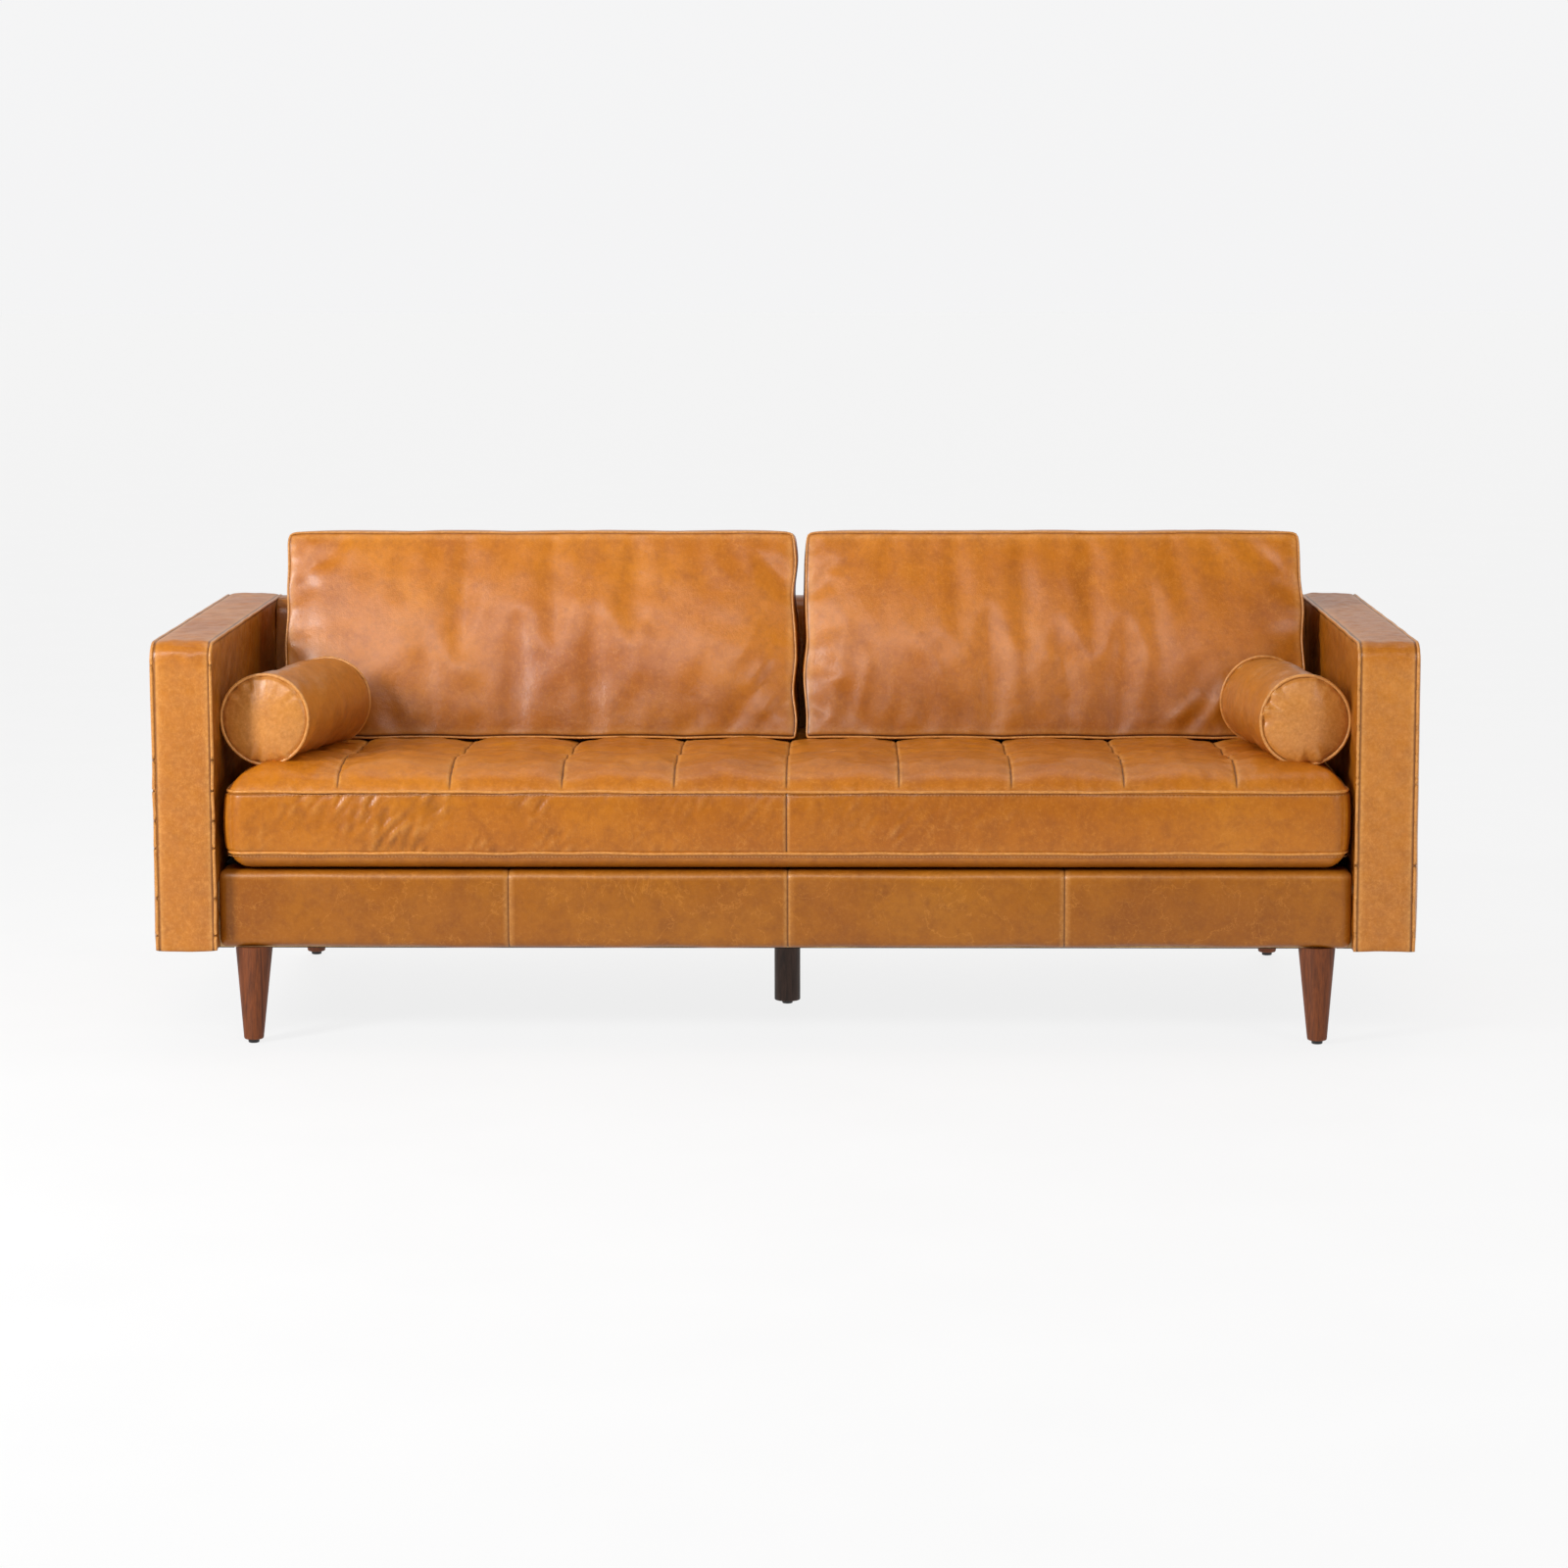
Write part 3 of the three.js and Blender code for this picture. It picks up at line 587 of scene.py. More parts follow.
def add_floor():
    n = Nodes("pale_floor")
    speck = n.noise(3.0, 2.0)
    n.finish(n.ramp(speck, (0.3, (0.10, 0.10, 0.10)), (0.7, (0.11, 0.11, 0.11))), 0.75, specular=0.2)
    n.shader.inputs["Emission Color"].default_value = (1, 1, 1, 1)
    n.shader.inputs["Emission Strength"].default_value = FLOOR_GLOW
    points = FLOOR_HALF * np.array([(-1, -1, 0), (1, -1, 0), (1, 1, 0), (-1, 1, 0)])
    floor = make("floor", points, np.array([[0, 1, 2, 3]]), n.material)


def add_light(name, place, aim, size, power):
    data = bpy.data.lights.new(name, "AREA")
    data.shape = "RECTANGLE"
    data.size, data.size_y = size
    data.energy = power
    light = bpy.data.objects.new(name, data)
    light.location = place
    light.rotation_euler = (Vector(aim) - Vector(place)).to_track_quat("-Z", "Y").to_euler()
    bpy.context.scene.collection.objects.link(light)
    return light


def add_world():
    """A white backdrop that is seen as white all round but lights the scene gently, and more from behind."""
    world = bpy.data.worlds.new("studio")
    world.use_nodes = True
    tree = world.node_tree
    direction = tree.nodes.new("ShaderNodeTexCoord").outputs["Generated"]
    split = tree.nodes.new("ShaderNodeSeparateXYZ")
    tree.links.new(direction, split.inputs[0])
    seen = tree.nodes.new("ShaderNodeValToRGB")
    seen.color_ramp.elements[0].color = (0.905, 0.905, 0.91, 1)
    seen.color_ramp.elements[1].color = (0.95, 0.95, 0.95, 1)
    seen.color_ramp.elements[1].position = 0.3
    tree.links.new(split.outputs["Z"], seen.inputs["Fac"])
    glow = tree.nodes.new("ShaderNodeMapRange")
    for key, value in (("From Min", -0.2), ("From Max", 0.9), ("To Min", 0.06), ("To Max", 0.75)):
        glow.inputs[key].default_value = value
    tree.links.new(split.outputs["Y"], glow.inputs["Value"])
    paths = tree.nodes.new("ShaderNodeLightPath")
    pick = tree.nodes.new("ShaderNodeMix")
    pick.data_type = "RGBA"
    sockets = [socket for socket in pick.inputs if socket.type == "RGBA"]
    tree.links.new(paths.outputs["Is Camera Ray"], pick.inputs["Factor"])
    tree.links.new(glow.outputs["Result"], sockets[0])
    tree.links.new(seen.outputs["Color"], sockets[1])
    background = tree.nodes["Background"]
    background.inputs["Strength"].default_value = 1.0
    color = next(socket for socket in pick.outputs if socket.type == "RGBA")
    tree.links.new(color, background.inputs["Color"])
    bpy.context.scene.world = world


def add_lights():
    add_world()
    add_light("key", (-3.4, -2.9, 2.4), (-0.1, 0, 0.6), (0.8, 1.4), 150)
    add_light("fill", (3.4, -3.6, 2.1), (0.2, 0, 0.5), (1.1, 1.5), 42)
    add_light("front", (-0.3, -4.6, 3.6), (0, 0, 0.45), (3.0, 0.8), 66)
    add_light("top", (0.0, 0.1, 3.2), (0, 0, 0.4), (2.6, 1.2), 20)
    gleam = add_light("gleam", (-1.9, -3.9, 3.8), (0, 0, 0.6), (0.6, 1.6), 36)
    gleam.visible_diffuse = False  # a strip that only shows as the long highlights on the glossy leather


# ---------------------------------------------------------------- arms

ARM_ROUND = 0.03  # the front-top and rear-top corners
WELT = 0.0029
OUTER_WELT_X = 1.1068
PANEL_BULGE = ARM_OUTER - OUTER_WELT_X
BAND_CROWN = 0.0034  # how far the band round the arm swells between its welts
BAND_DIP = 0.0022  # and how far it is pulled in beside them
HEM_BLEND = 0.02  # height over which the lower edge's wandering fades out


def arm_loop(inset, step):
    """The arm's outline from the front's foot over the top to the rear's foot, moved in by inset."""
    radius = ARM_ROUND - inset
    front, rear, top = FRONT + inset, REAR - inset, LEATHER_TOP - inset
    turns = np.linspace(0, math.pi / 2, 9)
    corner = [(front + radius * (1 - math.cos(a)), top - radius * (1 - math.sin(a))) for a in turns]
    path = [(front, LEATHER_BOTTOM + inset), *corner]
    path += [(rear + front - y, z) for y, z in reversed(corner)] + [(rear, LEATHER_BOTTOM + inset)]
    points = np.array([(0, y, z) for y, z in path])
    return resample(points, step)


def wander_hem(where, low):
    """The leather's lower edge, which is stapled under the frame, wanders a little up and down."""
    wave = 0.0011 * waves(where[:, :2], 0.16, 41)
    where[:, 2] += smooth(low + HEM_BLEND, low, where[:, 2]) * wave


def arm_lattice():
    half_x, half_y = (OUTER_WELT_X - ARM_INNER) / 2, (REAR - FRONT) / 2
    half_z = (LEATHER_TOP - LEATHER_BOTTOM) / 2
    across = marks(half_x, (-half_x, half_x), 0.006, 0.0009)
    along = marks(half_y, (-half_y, half_y), 0.009, 0.0012, 0.014)
    upward = marks(half_z, (-half_z, half_z), 0.009, 0.0012, 0.014)
    return (half_x, half_y, half_z), *lattice(across, along, upward)


def round_top_corners(y, z, half_y, half_z):
    """The arm's side outline with its front-top and rear-top corners rounded."""
    core_y = np.clip(y, ARM_ROUND - half_y, half_y - ARM_ROUND)
    core_z = np.minimum(z, half_z - ARM_ROUND)
    out_y, out_z = y - core_y, z - core_z
    reach = np.hypot(out_y, out_z)
    square = np.maximum(np.abs(out_y), out_z)
    scale = np.where((np.abs(out_y) > 0) & (out_z > 0), square / np.maximum(reach, 1e-9), 1.0)
    return core_y + out_y * scale, core_z + out_z * scale


def arm_body(side):
    """The arm as one padded form: a band round its front, top and back, a flat inside, a crowned outside."""
    (half_x, half_y, half_z), cube, quads = arm_lattice()
    y, z = round_top_corners(cube[:, 1] * half_y, cube[:, 2] * half_z, half_y, half_z)
    edge = np.minimum(half_y * (1 - np.abs(cube[:, 1])), half_z * (1 - cube[:, 2]))
    from_foot = half_z * (1 + cube[:, 2])
    outward, inward = cube[:, 0] * side > ON_FACE, cube[:, 0] * side < -ON_FACE
    panel = outward | inward
    from_welt = half_x * (1 - np.abs(cube[:, 0]))
    swell = PANEL_BULGE * (1 - np.exp(-np.minimum(edge, from_foot + 0.004) / 0.020))
    x = cube[:, 0] * half_x + side * np.where(outward, swell, 0)
    ahead = np.where(np.abs(cube[:, 1]) > ON_FACE, np.sign(cube[:, 1]), 0.0)
    up = np.where(cube[:, 2] > ON_FACE, 1.0, 0.0)
    band = ~panel & ((ahead != 0) | (up != 0))
    dip = BAND_DIP * np.exp(-from_welt / BAND_DIP)
    crown = np.where(band, BAND_CROWN * (1 - np.exp(-from_welt / 0.009)) - dip, 0)
    middle_x, middle_z = (ARM_INNER + OUTER_WELT_X) / 2, (LEATHER_TOP + LEATHER_BOTTOM) / 2
    where = np.stack([x + side * middle_x, y, z + middle_z], 1)
    soft = waves(where, 0.34, 5 + side) * 0.0010 + waves(where, 0.12, 9 + side) * 0.0004
    pucker = 0.0006 * waves(where, 0.026, 15 + side) * np.exp(-np.minimum(edge, from_welt) / 0.012)
    where[:, 0] += np.where(panel, soft * smooth(0, 0.05, edge) + pucker * inward, 0)
    lift = crown + np.where(band, (soft + pucker) * smooth(0, 0.02, from_welt), 0)
    where[:, 1] += lift * ahead * np.where(up > 0, 0.7, 1)
    where[:, 2] += lift * up * np.where(ahead != 0, 0.7, 1)
    wander_hem(where, LEATHER_BOTTOM)
    beside = np.where(panel, edge, from_welt)
    seam = bell(beside, 0.0038, 0.0015) * (from_foot > 0.001) * 0.9
    # The inside panel is painted darker as painted shade, and the leather is darker along its lower edge.
    seam += 0.22 * inward + 0.5 * np.exp(-from_foot / 0.003)
    corner = np.hypot(np.minimum(0, half_z * (1 - cube[:, 2]) - 0.05), half_y * (1 - np.abs(cube[:, 1])))
    wear = 0.45 * bell(beside, 0.0085, 0.004) + 0.3 * np.exp(-corner / 0.03) * band
    return where, quads, np.clip(wear, 0, 1), seam


def add_arm(place_name, side):
    points, quads, wear, seam = arm_body(side)
    body = make(f"arm_leather_{place_name}", points, quads, LEATHER_ARM, wear=wear, seam=seam)
    place(body, "frame", "leather", f"arm_cover_{place_name}")
    for name, x in (("inner", ARM_INNER + 0.0008), ("outer", OUTER_WELT_X)):
        path = arm_loop(0.0006, 0.006)
        path[:, 0] = side * x + 0.0004 * waves(path[:, 1:], 0.1, 77 + side)
        welt = tube(f"arm_welt_{name}_{place_name}", path, WELT, LEATHER_WELT)
        place(welt, "frame", "leather")


# ---------------------------------------------------------------- front rail


def seam_groove(nearest, pull):
    """How deep a seam draws the leather in, by the distance to it."""
    return 0.0022 * bell(nearest, 0, 0.0022) + pull * np.exp(-nearest / 0.012)


RAIL_SEAMS = (-0.488, 0.006, 0.495)
RAIL_ROUND = 0.016


def add_front_rail():
    low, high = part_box("front_rail_cover")
    middle, half = (low + high) / 2, (high - low) / 2
    across = marks(half.x, (*RAIL_SEAMS, -half.x, half.x), 0.008, 0.0009, 0.005)
    upward = marks(half.z, (-half.z, half.z), 0.006, 0.002, 0.014)
    cube, quads = lattice(across, np.linspace(-1, 1, 13), upward)
    shaped = rounded(cube, (half.x, half.y, half.z), RAIL_ROUND)
    where = shaped + np.array(middle)
    front = smooth(low.y + 0.03, low.y, where[:, 1])
    height = (where[:, 2] - low.z) / (high.z - low.z)
    nearest = np.min(np.abs(where[:, 0:1] - np.array(RAIL_SEAMS)), axis=1)
    belly = 0.004 * np.sin(np.pi * np.clip(height, 0, 1)) ** 0.6
    soft = 0.0012 * waves(where, 0.3, 21) + 0.0006 * waves(where, 0.09, 22)
    where[:, 1] -= front * (belly + soft - seam_groove(nearest, 0.0014))
    where[:, 2] -= smooth(high.z - 0.02, high.z, where[:, 2]) * 0.0016 * bell(nearest, 0, 0.006)
    wander_hem(where, low.z)
    wear = 0.6 * bell(nearest, 0.003, 0.0028) + 0.4 * bell(height, 0.93, 0.035) * front
    # Dark seam lines, and darker towards the lower edge.
    seam = 0.9 * bell(nearest, 0, 0.001) + 0.6 * np.exp(-height / 0.03)
    rail = make("front_rail_leather", where, quads, LEATHER_BASE, wear=np.clip(wear, 0, 1), seam=seam)
    place(rail, "frame", "leather", "front_rail_cover")


# ---------------------------------------------------------------- back

BACK_ROUND = 0.028
BACK_SEAMS = (-0.5, 0.0, 0.5)
BACK_INSIDE_Y = 0.3125
BACK_FOOT_Z = 0.312
BACK_LEAN = math.radians(10)


def back_lattice(half_x):
    across = marks(half_x, (*BACK_SEAMS, -half_x, half_x), 0.009, 0.001, 0.006)
    upward = marks(1.0, (-1.0, 1.0), 0.03, 0.006, 0.06)
    return lattice(across, marks(1.0, (-1.0, 1.0), 0.09, 0.02, 0.2), upward)


def add_back():
    """The back between the arms: a leaning inside, an upright rear with three seams, rounded top edges."""
    low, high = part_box("back_cover")
    half_x = (high.x - low.x) / 2
    cube, quads = back_lattice(half_x)
    x = cube[:, 0] * half_x
    t, s = (cube[:, 2] + 1) / 2, (cube[:, 1] + 1) / 2
    z = lerp(LEATHER_BOTTOM, LEATHER_TOP, t)
    front = BACK_INSIDE_Y + (np.maximum(z, BACK_FOOT_Z) - BACK_FOOT_Z) * math.tan(BACK_LEAN)
    y = lerp(front, high.y, s)
    into_y = np.maximum(BACK_ROUND - (LEATHER_TOP - z), 0)
    into_z = np.maximum(BACK_ROUND - np.minimum(s, 1 - s) * (high.y - front), 0)
    drop_y, drop_z = (BACK_ROUND - np.sqrt(np.maximum(BACK_ROUND**2 - i**2, 0)) for i in (into_y, into_z))
    rear_face, front_face = cube[:, 1] > ON_FACE, cube[:, 1] < -ON_FACE
    y = y + np.where(front_face, drop_y, 0) - np.where(rear_face, drop_y, 0)
    z = z - np.where(cube[:, 2] > ON_FACE, drop_z, 0)
    where = np.stack([x, y, z], 1)
    nearest = np.min(np.abs(x[:, None] - np.array(BACK_SEAMS)), axis=1)
    groove = seam_groove(nearest, 0.0015)
    belly = 0.0035 * (1 - (2 * t - 1) ** 4) * (1 - np.abs(cube[:, 0]) ** 12)
    soft = 0.0014 * waves(where, 0.4, 31) + 0.0005 * waves(where, 0.1, 32)
    where[:, 1] += np.where(rear_face, belly + soft - groove, 0)
    wander_hem(where, LEATHER_BOTTOM)
    wear = 0.55 * bell(nearest, 0.003, 0.0028) * rear_face
    seam = 0.9 * bell(nearest, 0, 0.001) * rear_face
    back = make("back_leather", where, quads, LEATHER_BASE, wear=wear, seam=seam)
    place(back, "frame", "leather", "back_cover")


# ---------------------------------------------------------------- seat cushion

SEAT_X = 0.0045
SEAT_HALF = 0.986
SEAT_FRONT = -0.474
SEAT_REAR = 0.304
SEAT_TOP_SEAM = 0.453
SEAT_LOW_SEAM = 0.344
SEAT_BASE = 0.311
TUFT_PITCH = 0.1975
TUFT_SEAMS_A_SIDE = 4
TUFT_ROWS = (-0.205, 0.078)
TUFT_REACH = 0.125  # how far from a row its valley spreads
FRONT_CROWN, REAR_CROWN = 0.050, 0.035  # height of the pillows over the top seam
VALLEY_X, VALLEY_Y = 0.0080, 0.0105  # depth of the valleys along the two sets of seams
VALLEY_POWER = 2.6
EDGE_ROLL = 0.030  # how far in from the edge the top rises
SEAT_CORNER = 0.03


def seat_outline(u, v, radius):
    """Plan position for cube coordinates u and v: a rectangle with rounded corners."""
    half = np.array([SEAT_HALF, (SEAT_REAR - SEAT_FRONT) / 2, 1.0])
    flat = np.stack([u * half[0], v * half[1]], 1)
    core = np.clip(flat, radius - half[:2], half[:2] - radius)
    out = flat - core
    reach = np.linalg.norm(out, axis=1)
    square = np.max(np.abs(out), axis=1)
    scale = np.where(reach > 1e-9, square / np.maximum(reach, 1e-9), 1)
    plan = core + out * scale[:, None]
    return plan[:, 0] + SEAT_X, plan[:, 1] + (SEAT_FRONT + SEAT_REAR) / 2


def tuft_distance(x, y):
    """How far a point of the seat lies from the nearest front-to-back seam, and from the nearest row."""
    column = (x - SEAT_X) / TUFT_PITCH
    nearest = np.clip(np.round(column), -TUFT_SEAMS_A_SIDE, TUFT_SEAMS_A_SIDE)
    return np.abs(column - nearest) * TUFT_PITCH, np.min(np.abs(y[:, None] - np.array(TUFT_ROWS)), axis=1)


def seat_pillows(x, y, edge):
    """The top between its seams: a crown high behind the front edge, and how deep its valleys are."""
    crown = lerp(FRONT_CROWN, REAR_CROWN, smooth(-0.36, 0.02, y))
    rise = crown * (1 - np.exp(-edge / EDGE_ROLL)) / (1 - math.exp(-4))
    cell_x, cell_y = tuft_distance(x, y)
    valley = VALLEY_X * (1 - np.clip(cell_x / (TUFT_PITCH / 2), 0, 1)) ** VALLEY_POWER
    valley += VALLEY_Y * (1 - np.clip(cell_y / TUFT_REACH, 0, 1)) ** VALLEY_POWER
    return SEAT_TOP_SEAM + rise, valley * smooth(0.0, 0.05, edge)


def seat_top(x, y, edge):
    """Height of the tufted top over the floor, and the distance from its nearest seam."""
    crown, valley = seat_pillows(x, y, edge)
    cell_x, cell_y = tuft_distance(x, y)
    groove = 0.0030 * bell(cell_x, 0, 0.0020) + 0.0034 * bell(cell_y, 0, 0.0024)
    pucker = 0.0050 * bell(np.hypot(cell_x, cell_y), 0, 0.020)
    nearest = np.minimum(cell_x, cell_y)
    radial = 0.0010 * waves(np.stack([x, y], 1), 0.030, 58) * np.exp(-nearest / 0.012)
    return crown - valley + (radial - groove - pucker) * smooth(0, 0.012, edge), nearest


def seat_lattice():
    half_y, half_z = (SEAT_REAR - SEAT_FRONT) / 2, (SEAT_TOP_SEAM - SEAT_LOW_SEAM) / 2
    seams = np.arange(-TUFT_SEAMS_A_SIDE, TUFT_SEAMS_A_SIDE + 1) * TUFT_PITCH
    rows = np.array(TUFT_ROWS) - (SEAT_FRONT + SEAT_REAR) / 2
    across = marks(SEAT_HALF, (*seams, -SEAT_HALF, SEAT_HALF), 0.0052, 0.0011, 0.0055)
    along = marks(half_y, (*rows, -half_y, half_y), 0.0075, 0.0013, 0.007)
    upward = marks(half_z, (-half_z, half_z), 0.0032, 0.002, 0.010)
    return lattice(across, along, upward)


WRINKLE_SLANT = math.radians(55)
WRINKLED_X = -0.62


def seat_wrinkles(where):
    """Fine slanting wrinkles that come and go over the boxing's front, more of them at the left."""
    cos, sin = math.cos(WRINKLE_SLANT), math.sin(WRINKLE_SLANT)
    along, beside = where[:, 0] * cos + where[:, 2] * sin, where[:, 2] * cos - where[:, 0] * sin
    ripples = waves(np.stack([along * 0.28, beside], 1), 0.015, 52)
    ripples -= 0.8 * np.abs(waves(np.stack([along * 0.3, beside], 1), 0.021, 56))
    patches = smooth(-1.0, 1.0, waves(where, 0.11, 53))
    share = 0.25 + 0.75 * bell(where[:, 0], WRINKLED_X, 0.17)
    return 0.0017 * ripples * patches * share * smooth(0.9, 0.1, where[:, 0])


def add_seat():
    cube, quads = seat_lattice()
    u, v, w = cube.T
    x, y = seat_outline(u, v, SEAT_CORNER)
    edge_x = SEAT_HALF * (1 - np.abs(u))
    edge = np.minimum(edge_x, (SEAT_REAR - SEAT_FRONT) / 2 * (1 - np.abs(v)))
    top, lines = seat_top(x, y, edge)
    bottom = SEAT_LOW_SEAM - (SEAT_LOW_SEAM - SEAT_BASE) * (1 - np.exp(-edge / 0.016))
    height = (w + 1) / 2
    on_top, on_bottom = w > ON_FACE, w < -ON_FACE
    on_side = ~on_top & ~on_bottom
    z = np.where(on_top, top, np.where(on_bottom, bottom, lerp(SEAT_LOW_SEAM, SEAT_TOP_SEAM, height)))
    where = np.stack([x, y, z], 1)
    across_x = np.where(np.abs(u) > ON_FACE, np.sign(u), 0.0)
    across_y = np.where(np.abs(v) > ON_FACE, np.sign(v), 0.0)
    from_centre = np.where(across_y != 0, np.abs(x - SEAT_X), 1)
    bulge = 0.0075 * np.sin(np.pi * height) ** 0.5 + 0.0014 * waves(where, 0.22, 51)
    bulge -= 0.0024 * bell(from_centre, 0, 0.0025) + 0.0014 * np.exp(-from_centre / 0.012)
    wrinkled = seat_wrinkles(where) * (across_y < 0) * smooth(0, 0.05, edge_x)
    bulge = (bulge + wrinkled) * on_side * smooth(0.0, 0.06, np.minimum(height, 1 - height))
    where[:, 0] += across_x * bulge
    where[:, 1] += across_y * bulge
    loose = smooth(0.01, 0.05, edge) * on_top
    where[:, 2] += loose * (0.0014 * waves(where[:, :2], 0.12, 54) + 0.0006 * waves(where[:, :2], 0.035, 55))
    gathers = 0.0011 * waves(np.stack([x, 0.2 * y], 1), 0.018, 59) * np.exp(-edge / 0.014)
    where[:, 2] += gathers * smooth(0, 0.004, edge) * on_top
    from_top = np.where(on_top, edge, np.where(on_side, SEAT_TOP_SEAM - z, 1))
    from_low = np.where(on_bottom, edge, np.where(on_side, z - SEAT_LOW_SEAM, 1))
    tufted = on_top * smooth(0.002, 0.01, edge)
    wear = 0.5 * bell(lines, 0.0034, 0.0022) * tufted + 0.25 * np.exp(-lines / 0.02) * tufted
    wear += 0.6 * bell(from_centre, 0.003, 0.0025) * on_side
    wear += 0.5 * np.exp(-from_top / 0.004) + 0.5 * np.exp(-from_low / 0.004)
    # Paler on the crests of the boxing's wrinkles: a painted highlight.
    wear += 0.45 * np.clip(wrinkled / 0.0016, 0, 1) * on_side
    seam = 0.9 * bell(lines, 0, 0.0013) * tufted + bell(from_centre, 0, 0.0011) * on_side
    seam += 0.6 * bell(from_top, 0.0045, 0.0012) * on_side
    # A dark line below the lower seam, and the underside painted darker further in, as painted shade.
    seam += 0.6 * bell(from_low, 0.0040, 0.0012) * on_bottom + 0.5 * smooth(0.006, 0.02, edge) * on_bottom
    # The boxing's sides are painted darker overall, and darker still in the wrinkle valleys, as painted
    # shade.
    seam += (0.13 + 0.22 * np.clip(-wrinkled / 0.0030, 0, 1)) * on_side
    wear, seam = np.clip(wear, 0, 1), np.clip(seam, 0, 1)
    seat = make("seat_leather", where, quads, LEATHER_SEAT, wear=wear, seam=seam)
    place(seat, "seat_cushion", "leather", "seat_cushion_cover", "seat_cushion_core")
    add_seat_seams()


def seat_edge_loop(grow, z):
    """A closed loop round the seat's plan outline, moved out by grow, at that height."""
    radius = SEAT_CORNER + grow
    half_x, half_y = SEAT_HALF + grow, (SEAT_REAR - SEAT_FRONT) / 2 + grow
    loop = []
    for turn, (sx, sy) in enumerate([(1, 1), (-1, 1), (-1, -1), (1, -1)]):
        for a in np.linspace(0, math.pi / 2, 7) + turn * math.pi / 2:
            loop.append((
                SEAT_X + sx * (half_x - radius) + radius * math.cos(a),
                (SEAT_FRONT + SEAT_REAR) / 2 + sy * (half_y - radius) + radius * math.sin(a),
                z,
            ))
    return resample(loop, 0.01, closed=True)


def add_seat_seams():
    for name, z in (("top", SEAT_TOP_SEAM), ("low", SEAT_LOW_SEAM)):
        ridge = seat_edge_loop(0.0012, z + 0.0005)
        ridge[:, 2] += 0.0006 * waves(ridge[:, :2], 0.12, 61)
        lip = tube(f"seat_lip_{name}", ridge, 0.0026, LEATHER_SEAT, closed=True, sides=8)
        place(lip, "seat_cushion", "leather")
        row = resample(seat_edge_loop(0.0034, z - 0.0052), STITCH_STEP, closed=True)
        centre = np.array([SEAT_X, (SEAT_FRONT + SEAT_REAR) / 2, z])
        out = row - centre
        flat = np.abs(out / np.array([SEAT_HALF, 0.39, 1]))
        at_end = (flat[:, 0] > flat[:, 1])[:, None]
        out = out * np.where(at_end, np.array([1, 0, 0]), np.array([0, 1, 0]))
        out /= np.linalg.norm(out, axis=1)[:, None]
        line = stitches(f"seat_stitch_{name}", row, out, THREAD)
        place(line, "seat_cushion", "leather")


# ---------------------------------------------------------------- back cushions

CUSHION_FRONT = ((0.030, 0.484), (0.172, 0.862))  # (y, z) of the front face's lower and upper seam
CUSHION_REAR = ((0.330, 0.486), (0.340, 0.848))
CUSHION_ROUND = 0.016
CUSHIONS = {
    "left": {
        "x": (-0.948, 0.013),
        "seed": 101,
        "folds": [
            ((-0.36, 0.60), (-0.325, 0.80), 0.0175, 0.0013),
            ((-0.30, 0.56), (-0.27, 0.70), 0.0149, 0.0010),
            ((-0.08, 0.56), (-0.02, 0.66), 0.0121, 0.0014),
            ((-0.06, 0.52), (0.0, 0.58), 0.0095, 0.0014),
            ((-0.72, 0.49), (-0.66, 0.60), 0.0189, 0.0010),
            ((-0.20, 0.49), (-0.18, 0.56), 0.0162, 0.0015),
            ((-0.11, 0.60), (-0.03, 0.74), 0.0135, 0.0010),
        ],
    },
    "right": {
        "x": (0.033, 0.968),
        "seed": 202,
        "folds": [
            ((0.075, 0.49), (0.12, 0.72), 0.0135, 0.0017),
            ((0.125, 0.49), (0.155, 0.66), 0.0121, 0.0015),
            ((0.18, 0.49), (0.20, 0.60), 0.0135, 0.0014),
            ((0.235, 0.49), (0.25, 0.57), 0.0149, 0.0013),
            ((0.30, 0.56), (0.26, 0.66), 0.0135, 0.0013),
            ((0.43, 0.55), (0.42, 0.68), 0.0162, 0.0017),
            ((0.48, 0.52), (0.455, 0.62), 0.0135, 0.0015),
            ((0.52, 0.56), (0.49, 0.65), 0.0108, 0.0013),
            ((0.66, 0.54), (0.68, 0.67), 0.0149, 0.0013),
            ((0.57, 0.66), (0.52, 0.80), 0.0108, 0.0007),
            ((0.70, 0.49), (0.78, 0.57), 0.0162, 0.0050),
            ((0.77, 0.49), (0.83, 0.59), 0.0162, 0.0050),
        ],
    },
}


CUSHION_STEP = 0.012
CUSHION_ROWS = 20  # lattice cells from front to rear
CUSHION_REFINE = 2
CUSHION_WELT = 0.0022
CUSHION_HALF_TALL = 0.195
CUSHION_PRESSURE = 4.0
CUSHION_SHRINK = -0.007  # the cover is cut a little larger than its foam, so it puckers at the seams
CUSHION_CAP = 0.030
BOXING_GIVE = 0.35  # the share of that swelling which the narrow side panels take
SEAT_CLEARANCE = 0.0012
CUSHION_SINK = 0.005  # the underside fills only the top of the seat's valleys


